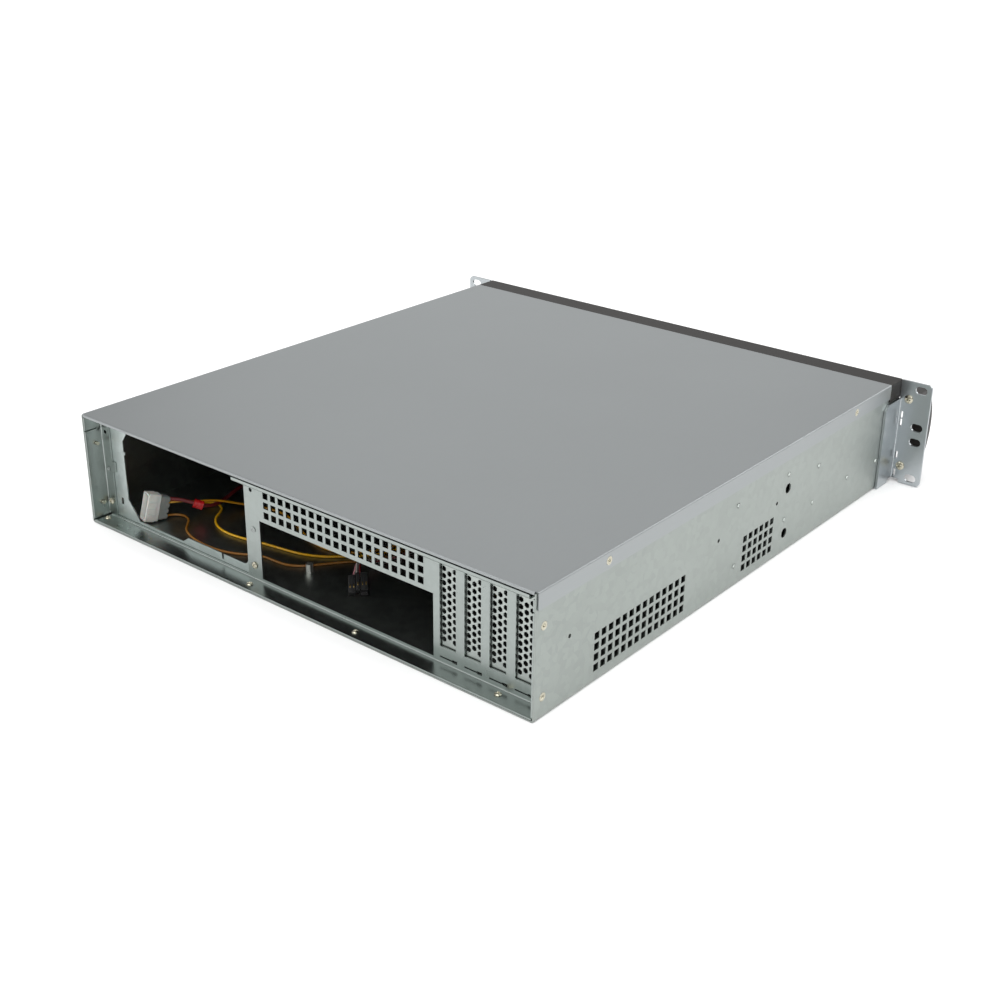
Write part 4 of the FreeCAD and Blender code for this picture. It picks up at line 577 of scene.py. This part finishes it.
# node: head radius, dome, height of the edge over the seat, length, way out, cross, metal, slot
SCREWS = {
    "cover_screws": (2.85, 0.05, 0.0, 4.6, "side", True, yellow_zinc, "screw_zinc"),
    "wall_screws": (2.85, 0.05, 0.0, 4.6, "side", True, yellow_zinc, "screw_zinc"),
    "plate_screws": (2.65, 1.1, 0.7, 4.6, (0, 1, 0), True, yellow_zinc, "screw_zinc"),
    "ledge_screws": (2.45, 1.0, 0.6, 1.6, (0, 0, 1), True, yellow_zinc, "screw_zinc"),
    "slot_screws": (2.45, 1.0, 0.6, 1.6, (0, 0, 1), True, yellow_zinc, "screw_zinc"),
    "fan_screws": (2.65, 1.1, 0.7, 4.6, (0, -1, 0), True, yellow_zinc, "screw_zinc"),
    "handle_screws": (3.6, 1.2, 0.8, 9.6, (0, 1, 0), True, yellow_zinc, "screw_zinc"),
    "cage_screws": (2.45, 1.0, 0.6, 1.6, (0, 0, 1), True, yellow_zinc, "screw_zinc"),
    "plate_rivets": (2.15, 0.3, 0.4, 2.2, (0, 1, 0), False, rivet_metal, "zinc_plate"),
}
turns = np.random.default_rng(TURNS_SEED)
for node, (radius, dome, edge, length, way, cross, metal, slot) in SCREWS.items():
    shells = []
    for low, high in solids_in(node):
        middle = (low + high) / 2
        axis = np.array((np.sign(middle[0]), 0, 0) if way == "side" else way, float)
        outside = np.where(axis > 0, high, low)
        seat = np.where(axis == 0, middle, outside - axis * (dome + edge))
        drawn = screw(radius, dome, edge, length, cross)
        shells.append(set_in(drawn, seat, axis, turns.uniform(0, math.pi)))
    piece("turned_" + node, shells, [metal], "chassis", [node])


# ------------------------------------------------------------------ leads
# Flexible copper leads in extruded PVC insulation, laid loosely on the case's floor from the
# front to their connector at the rear. Each lies along one smooth line, shown here from its
# rear end forward as X, depth from the rear edge, and height.
LEAD_ROUTES = {
    "supply_lead_red": [
        (174.6, 40.6, 16.9), (166.4, 46.8, 16.6), (157.6, 52.5, 14.2), (153.4, 57.0, 11.6),
        (151.2, 64.5, 9.8), (153.0, 73.0, 8.6), (156.2, 84.0, 8.6), (160.0, 97.0, 10.2),
        (163.6, 114.0, 9.0), (167.0, 140.0, 4.4), (170.0, 168.0, 2.6), (172.0, 205.0, 2.6),
        (173.5, 276.0, 2.6), (176.0, 362.0, 2.6), (180.0, 398.0, 2.6), (180.5, 424.0, 3.2),
        (177.0, 440.0, 5.8), (176.0, 450.5, 6.5)],
    "supply_lead_yellow": [
        (176.2, 41.2, 15.8), (168.4, 48.2, 15.6), (160.4, 54.2, 13.4), (157.4, 63.0, 12.7),
        (152.3, 73.6, 10.5), (145.5, 87.0, 5.2), (136.0, 96.5, 2.4), (122.0, 101.0, 2.1),
        (106.0, 100.5, 2.1), (90.0, 95.0, 2.1), (74.0, 87.0, 2.1), (57.0, 80.5, 2.1),
        (41.0, 79.0, 2.1), (28.0, 84.0, 2.1), (17.0, 94.0, 2.1), (9.0, 108.0, 2.1),
        (5.5, 128.0, 2.1), (7.0, 290.0, 2.1), (8.0, 372.0, 2.1), (12.0, 404.0, 2.1),
        (22.0, 426.0, 2.6), (27.0, 440.0, 5.4), (28.0, 450.5, 6.5)],
    "fan_lead_outer": [
        (176.2, 41.0, 12.8), (170.0, 49.4, 13.6), (164.2, 56.6, 11.4), (166.0, 64.8, 7.8),
        (167.8, 71.8, 5.0), (164.0, 77.6, 3.6), (156.6, 78.2, 2.4), (150.8, 72.2, 2.1),
        (146.0, 63.0, 2.1), (139.0, 56.6, 2.1), (129.0, 51.6, 2.1), (115.0, 49.8, 2.1),
        (99.0, 52.4, 2.1), (82.0, 56.5, 2.1), (65.0, 59.0, 2.1), (50.0, 62.0, 2.1),
        (36.0, 68.5, 2.1), (24.0, 79.0, 2.1), (12.0, 91.0, 2.1), (3.5, 106.0, 2.1),
        (0.5, 128.0, 2.1), (2.0, 292.0, 2.1), (2.5, 376.0, 2.1), (5.5, 408.0, 2.1),
        (14.0, 429.0, 2.7), (19.0, 441.0, 5.4), (20.0, 450.5, 6.5)],
    "fan_lead_inner": [
        (174.5, 38.6, 3.4), (172.6, 45.6, 2.7), (165.3, 49.4, 2.1), (157.6, 46.6, 2.1),
        (151.6, 39.8, 2.1), (145.5, 33.4, 2.1), (133.0, 28.2, 2.1), (117.0, 26.0, 2.1),
        (101.0, 26.8, 2.1), (87.5, 31.0, 2.1), (77.0, 37.6, 2.1), (67.5, 42.0, 2.1),
        (56.0, 42.0, 2.1), (44.0, 43.4, 2.1), (34.0, 50.6, 2.1), (26.0, 62.0, 2.1),
        (16.0, 75.0, 2.1), (4.0, 87.5, 2.1), (-3.0, 104.0, 2.1), (-5.0, 126.0, 2.1),
        (-3.5, 292.0, 2.1), (-3.0, 380.0, 2.1), (-1.5, 410.0, 2.1), (4.5, 430.0, 2.8),
        (10.5, 441.5, 5.4), (12.0, 450.5, 6.5)],
    "panel_ribbon": [
        (-15.5, 53.2, 10.0), (-10.6, 58.6, 12.2), (-5.5, 65.0, 12.6), (-2.4, 73.5, 9.0),
        (-3.0, 84.0, 4.6), (-7.5, 96.0, 3.2), (-11.0, 111.0, 3.2), (-13.0, 132.0, 3.2),
        (-13.5, 212.0, 3.2), (-13.0, 300.0, 3.2), (-15.0, 384.0, 3.2), (-21.0, 413.0, 3.3),
        (-27.0, 431.0, 5.4), (-30.8, 442.0, 10.4), (-31.8, 450.0, 14.4), (-32.0, 458.1, 15.5)],
}
LEAD_CLOUD = 11.1
GLOSS_CHANGE = 0.05


def route_of(name):
    """A lead's points from the front to the rear, in metres: X, the rear edge less the depth, Z."""
    points = np.array(LEAD_ROUTES[name][::-1]) * MM
    return np.column_stack([points[:, 0], REAR - points[:, 1], points[:, 2]])


def smooth_curve(name, points, radius):
    """A round lead on the smooth line that the points control."""
    curve = bpy.data.curves.new(name, "CURVE")
    curve.dimensions = "3D"
    spline = curve.splines.new("NURBS")
    spline.points.add(len(points) - 1)
    spline.points.foreach_set("co", np.column_stack([points, np.ones(len(points))]).ravel())
    spline.order_u = 3
    spline.use_endpoint_u = True
    spline.resolution_u = 8
    curve.bevel_depth = radius
    curve.bevel_resolution = 4
    curve.use_fill_caps = True
    lead = bpy.data.objects.new(name, curve)
    bpy.context.scene.collection.objects.link(lead)
    return lead


def insulation(name, colour, shade, roughness):
    """PVC insulation: smooth and slightly waxy, with slow clouds between two tones."""
    material, tree = blank_material(name)
    place = {"Vector": add(tree, "ShaderNodeTexCoord").outputs["Object"]}
    cloud = add(tree, "ShaderNodeTexNoise", {"Scale": 1 / (LEAD_CLOUD * MM), "Detail": 3}, place)
    tone = add(tree, "ShaderNodeMix", {"A": linear(colour), "B": linear(shade)},
               {"Factor": cloud.outputs["Fac"]}, data_type="RGBA")
    rough = add(tree, "ShaderNodeMapRange",
                {"To Min": roughness - GLOSS_CHANGE, "To Max": roughness + GLOSS_CHANGE},
                {"Value": cloud.outputs["Fac"]})
    vinyl = add(tree, "ShaderNodeBsdfPrincipled", {"IOR": 1.5, "Coat Weight": 0.05},
                {"Base Color": tone.outputs["Result"], "Roughness": rough.outputs["Result"]})
    add(tree, "ShaderNodeOutputMaterial", (), {"Surface": vinyl.outputs[0]})
    return material


# node: diameter, insulation, slot
LEAD_LOOKS = {
    "supply_lead_red": (3.0, insulation("dark_red_pvc", "#6E0D12", "#52080C", 0.56), "lead_red"),
    "supply_lead_yellow": (
        1.8, insulation("deep_yellow_pvc", "#D89A12", "#B87A0C", 0.3), "lead_yellow"),
    "fan_lead_outer": (
        1.8, insulation("bright_yellow_pvc", "#F0BC1E", "#D99A12", 0.28), "lead_yellow"),
    # The inner fan lead is yellow like the others. Its dull orange-brown is painted shade from the
    # dark floor it lies on.
    "fan_lead_inner": (1.8, insulation("yellow_pvc_painted_shade", "#96661A", "#7C4A12", 0.42), "lead_yellow"),
}
for name, (diameter, material, slot) in LEAD_LOOKS.items():
    lead = smooth_curve("round_" + name, route_of(name), diameter / 2 * MM)
    lead.data.materials.append(material)
    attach(lead, "chassis")
    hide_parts(name)


# ------------------------------------------------------------------ power connectors
# A mated pair of four-way connectors, moulded in natural nylon, standing on its narrow side and
# leaning a little. The outer one is open at its free end, and the leads enter the inner one's
# back. The sizes are length, width and height.
PAIR_TURN = math.radians(-105)
PAIR_LEAN = math.radians(15)
PAIR_FOOT = (177.9, 30.2, 1.2)
OUTER = (10.8, 10.0, 22.4)
INNER = (7.8, 8.0, 18.6)
WALL = 1.1
WAY_PITCH = 5.08
WAYS = (-7.62, -2.54, 2.54, 7.62)
RIBS = (-5.08, 0.0, 5.08)
INNER_SQUEEZE = 0.88
MATING_GAP = 0.1
NYLON_FLOW = 3.85


def carried(sections, count=4):
    """Rings of a rounded rectangle carried along X through (x, width, height, radius) sections.
    Each ring is a corner's centre plus radius (cos a, sin a), quarter by quarter."""
    x, width, height, radius = np.array(sections, float).T[..., None]
    angle = (np.arange(4)[:, None] + np.linspace(0, 1, count)[None]).ravel() * np.pi / 2
    sign = np.repeat([(1, 1), (-1, 1), (-1, -1), (1, -1)], count, axis=0)
    across = sign[:, 0] * (width / 2 - radius) + radius * np.cos(angle)
    up = sign[:, 1] * (height / 2 - radius) + radius * np.sin(angle)
    return np.stack([np.broadcast_to(x, across.shape), across, up], axis=-1)


def nylon(name, colour, shade, roughness, through):
    """Natural nylon, moulded: milky, with light spread under its skin, and a soft gloss."""
    material, tree = blank_material(name)
    place = {"Vector": add(tree, "ShaderNodeTexCoord").outputs["Object"]}
    flow = add(tree, "ShaderNodeTexNoise", {"Scale": 1 / (NYLON_FLOW * MM), "Detail": 2}, place)
    tone = add(tree, "ShaderNodeMix", {"A": linear(shade), "B": linear(colour)},
               {"Factor": flow.outputs["Fac"]}, data_type="RGBA")
    rough = add(tree, "ShaderNodeMapRange",
                {"To Min": roughness - GLOSS_CHANGE, "To Max": roughness + GLOSS_CHANGE},
                {"Value": flow.outputs["Fac"]})
    milk = add(tree, "ShaderNodeBsdfPrincipled",
               {"IOR": 1.53, "Transmission Weight": through, "Subsurface Weight": 0.3,
                "Subsurface Scale": SCATTER * MM},
               {"Base Color": tone.outputs["Result"], "Roughness": rough.outputs["Result"]})
    add(tree, "ShaderNodeOutputMaterial", (), {"Surface": milk.outputs[0]})
    return material


def stood(shells, foot, turn, lean):
    """Shells drawn along X, leaned about Y so that their far end drops, turned about Z, and set
    on a foot."""
    spin = np.array([(math.cos(turn), math.sin(turn), 0), (-math.sin(turn), math.cos(turn), 0),
                     (0, 0, 1)])
    tilt = np.array([(math.cos(lean), 0, -math.sin(lean)), (0, 1, 0),
                     (math.sin(lean), 0, math.cos(lean))])
    return [(points @ tilt @ spin + foot, quads, look) for points, quads, look in shells]


def shell_of(sections, y=0.0, z=0.0, look=0):
    """A closed shell through sections along X, moved across by y and up by z."""
    points, quads = closed_grid(carried(sections))
    return points + (0.0, y, z), quads, look


def foot_at(x, depth, height):
    """A foot's place in mm, from its depth before the rear edge."""
    return (x, REAR / MM - depth, height)


pair_foot = foot_at(*PAIR_FOOT)
tin = plated("tin_plate", "#CFCFCC", "#B5B5B2", 0.14, 0.26)

# the outer housing: a cup round its four pins, with a waist before the mated end and low ribs
length, width, height = OUTER
middle = height / 2
inside = (width - 2 * WALL, height - 2 * WALL)
outer_shells = [shell_of([
    (-2.0, *inside, 0.7), (-length + 0.4, *inside, 0.7), (-length, width - 1.8, height - 1.8, 0.9),
    (-length, width - 0.6, height - 0.6, 1.1), (-length + 0.3, width, height, 1.2),
    (-3.3, width, height, 1.2), (-3.0, width - 1.1, height - 1.0, 1.0),
    (-0.3, width - 1.1, height - 1.0, 1.0), (0.0, width - 1.8, height - 1.6, 0.8)], z=middle)]
for way in WAYS:
    outer_shells.append(shell_of([
        (-length + 2.4, 0.9, 0.9, 0.4), (-length + 2.9, 2.1, 2.1, 1.0), (-1.5, 2.1, 2.1, 1.0)],
        z=middle + way, look=1))
for rib in RIBS:
    for face in (-1, 1):
        outer_shells.append(shell_of([
            (-length + 1.4, 0.5, 0.6, 0.2), (-length + 1.6, 0.8, 0.9, 0.3),
            (-3.9, 0.8, 0.9, 0.3), (-3.7, 0.5, 0.6, 0.2)],
            y=face * (width / 2 - 0.1), z=middle + rib))
outer_connector = piece("outer_power_connector",
                        stood(outer_shells, pair_foot, PAIR_TURN, PAIR_LEAN),
                        [nylon("milky_nylon", "#D8D8D3", "#C6C6C0", 0.4, 0.0), tin],
                        "chassis", ["power_plug"])

# the inner housing: a collar, four chimneys that the leads enter, and a latch on one face
length, width, height = INNER
start = MATING_GAP
back = start + length
inner_shells = [shell_of([
    (start, width - 0.8, height - 0.8, 0.6), (start + 0.3, width, height, 0.8),
    (start + 3.6, width, height, 0.8), (start + 3.9, width - 1.0, height - 1.0, 0.7),
    (back - 1.2, width - 1.0, height - 1.0, 0.7), (back - 0.9, width - 1.6, height - 1.6, 0.6)],
    z=middle)]
for way in WAYS:
    inner_shells.append(shell_of([
        (start + 3.4, width - 0.3, WAY_PITCH - 1.3, 1.2),
        (back - 0.4, width - 0.3, WAY_PITCH - 1.3, 1.2),
        (back, width - 0.9, WAY_PITCH - 1.9, 1.0), (back, 2.6, 2.6, 1.2),
        (back - 1.5, 2.4, 2.4, 1.15)], z=middle + way * INNER_SQUEEZE))
inner_shells.append(shell_of([
    (start + 1.0, 0.9, 4.2, 0.3), (start + 2.2, 1.5, 5.6, 0.5),
    (start + 5.8, 1.5, 5.6, 0.5), (start + 6.0, 1.1, 5.2, 0.4)], y=width / 2 + 0.4, z=middle))
# The inner housing is the same natural nylon as the outer one, but its colour is painted a darker
# grey. That grey is painted shade.
inner_connector = piece("inner_power_connector",
                        stood(inner_shells, pair_foot, PAIR_TURN, PAIR_LEAN),
                        [nylon("nylon_painted_shade", "#A9AAA6", "#949692", 0.34, 0.3)],
                        "chassis", ["power_socket"])


# ------------------------------------------------------------------ butt splice
# A short insulated splice on the red lead: a bright vinyl sleeve with flared ends, pinched
# flat at two places by the crimping tool. It lies between two of the lead's route points.
SPLICE_LENGTH = 7.4
SPLICE_RADIUS = 2.9
SPLICE_HEIGHT = 3.7
SPLICE_LEG = (2, 3)
SPLICE_RINGS = 31
# each as a share of the length from the middle, then its width
PINCH_AT, PINCH_WIDTH = 0.2, 0.07
FLARE_AT, FLARE_WIDTH = 0.4, 0.1
PINCH_OUT, PINCH_IN, FLARE_OUT = 0.2, 0.4, 0.15


def rings_along(line, radius, flat=None, sides=20):
    """Rings of a round tube on a line: point + radius cos a side + flat sin a up, where side is
    level and square to the line."""
    flat = radius if flat is None else flat
    tangent = np.gradient(line, axis=0)
    tangent /= np.linalg.norm(tangent, axis=1, keepdims=True)
    side = np.cross(tangent, (0.0, 0.0, 1.0))
    side /= np.linalg.norm(side, axis=1, keepdims=True)
    up = np.cross(side, tangent)
    angle = np.arange(sides) * 2 * np.pi / sides
    wide = np.broadcast_to(radius, len(line))[:, None] * np.cos(angle)
    high = np.broadcast_to(flat, len(line))[:, None] * np.sin(angle)
    return line[:, None] + wide[..., None] * side[:, None] + high[..., None] * up[:, None]


legs = route_of("supply_lead_red")[::-1] / MM
ends = legs[list(SPLICE_LEG)]
step = np.linspace(-0.5, 0.5, SPLICE_RINGS)
pinch = np.exp(-((np.abs(step) - PINCH_AT) / PINCH_WIDTH) ** 2)
flare = FLARE_OUT * np.clip((np.abs(step) - FLARE_AT) / FLARE_WIDTH, 0, 1) ** 2
axis = (ends[1] - ends[0]) / np.linalg.norm(ends[1] - ends[0])
splice_rings = rings_along(ends.mean(axis=0) + step[:, None] * SPLICE_LENGTH * axis,
                           SPLICE_RADIUS + PINCH_OUT * pinch + flare,
                           SPLICE_HEIGHT - PINCH_IN * pinch + flare)
splice = piece("butt_splice", [(*closed_grid(splice_rings), 0)],
               [insulation("bright_red_vinyl", "#C8181C", "#AC1014", 0.28)],
               "chassis", ["crimp_sleeve"])


# ------------------------------------------------------------------ header housings
# Small black housings at the ends of the front controls' wires, leaning on each other on the
# floor. Windows in their faces show the spring contacts, stamped from brass and gold plated.
HEADER_FOOT = (-25.0, 45.0, 1.2)
HEADER_TURN = math.radians(136)
HEADER_LEAN = math.radians(35)
HEADER_LENGTH = 14.0
HEADER_PITCH = 2.54
HEADER_SKIN = 0.1
CONTACT_SINK = 0.26
# across, up, slid along, columns, rows
HEADERS = ((-4.4, 0.0, 0.0, 2, 2), (-0.2, 0.4, -1.4, 1, 2),
           (4.0, 0.0, 0.6, 2, 1), (4.2, 2.7, -1.6, 2, 1))

header_shells = []
for across, up, slid, columns, rows in HEADERS:
    wide, high = (count * HEADER_PITCH + HEADER_SKIN for count in (columns, rows))
    header_shells.append(shell_of([
        (slid - HEADER_LENGTH, wide - 0.5, high - 0.5, 0.2),
        (slid - HEADER_LENGTH + 0.25, wide, high, 0.3),
        (slid - 0.25, wide, high, 0.3), (slid, wide - 0.5, high - 0.5, 0.2)],
        y=across, z=up + high / 2))
    for column in range(columns):
        header_shells.append(shell_of([
            (slid - 6.6, 0.8, 0.5, 0.1), (slid - 6.5, 1.0, 0.6, 0.1),
            (slid - 4.1, 1.0, 0.6, 0.1), (slid - 4.0, 0.8, 0.5, 0.1)],
            y=across + (column - (columns - 1) / 2) * HEADER_PITCH,
            z=up + high - CONTACT_SINK, look=1))
header_housings = piece("header_housings",
                        stood(header_shells, foot_at(*HEADER_FOOT), HEADER_TURN, HEADER_LEAN),
                        [moulded("black_header_plastic", "#0C0C0D", "#121213", 0.55, 0.08),
                         plated("gold_plate", "#8A7448", "#5E4C2A", 0.34, 0.46)],
                        "chassis", ["header_connectors"])


# ------------------------------------------------------------------ front wire bundle
# The front controls' leads run together as a loose bundle of thin stranded wires. Each winds
# slowly round the bundle's own line, so that the wires cross and part a little as real ones do,
# and they spread where they enter the housings.
WIRE = 1.15
BUNDLE = 4.0
SPLAY = 1.1
SPLAY_LENGTH = 5.0
WIND = 90.0
WAVER = 0.5
WAVER_LENGTH = 30.0
WAVER_STEP = 1.7
WIRE_LOOKS = ("#B9B4B0", "#E6E1DC", "#DE97A0", "#D2CDC8", "#8C2A30", "#2E2E30", "#C9A2A6")


def line_of(points):
    """Points along the smooth line that the route controls, read from its own spline."""
    guide = smooth_curve("guide", points, 0.0)
    sampled = bpy.data.meshes.new_from_object(guide)
    line = np.empty(len(sampled.vertices) * 3)
    sampled.vertices.foreach_get("co", line)
    bpy.data.objects.remove(guide)
    bpy.data.meshes.remove(sampled)
    return line.reshape(-1, 3)


bundle_line = line_of(route_of("panel_ribbon")) / MM
leg = np.linalg.norm(np.diff(bundle_line, axis=0), axis=1)
run = np.concatenate([[0], np.cumsum(leg)])
tangent = np.gradient(bundle_line, axis=0)
side = np.cross(tangent, (0.0, 0.0, 1.0))
side /= np.linalg.norm(side, axis=1, keepdims=True)
up = np.cross(side, tangent / np.linalg.norm(tangent, axis=1, keepdims=True))
spread = (BUNDLE - WIRE) / 2 * (1 + SPLAY * np.exp((run - run[-1]) / SPLAY_LENGTH))
wires = []
for k in range(len(WIRE_LOOKS)):
    reach = 0.0 if k == 0 else spread
    waver = WAVER * np.sin(run / WAVER_LENGTH + WAVER_STEP * k)
    angle = k * 2 * np.pi / (len(WIRE_LOOKS) - 1) + run / WIND + waver
    wire = bundle_line + (reach * np.cos(angle))[:, None] * side
    wire += (reach * np.sin(angle))[:, None] * up
    wires.append((*closed_grid(rings_along(wire, WIRE / 2, sides=8)), k))
wire_vinyl = [insulation(f"thin_wire_pvc_{k + 1}", code, code, 0.38)
              for k, code in enumerate(WIRE_LOOKS)]
bundle = piece("front_wire_bundle", wires, wire_vinyl, "chassis", ["panel_ribbon"])
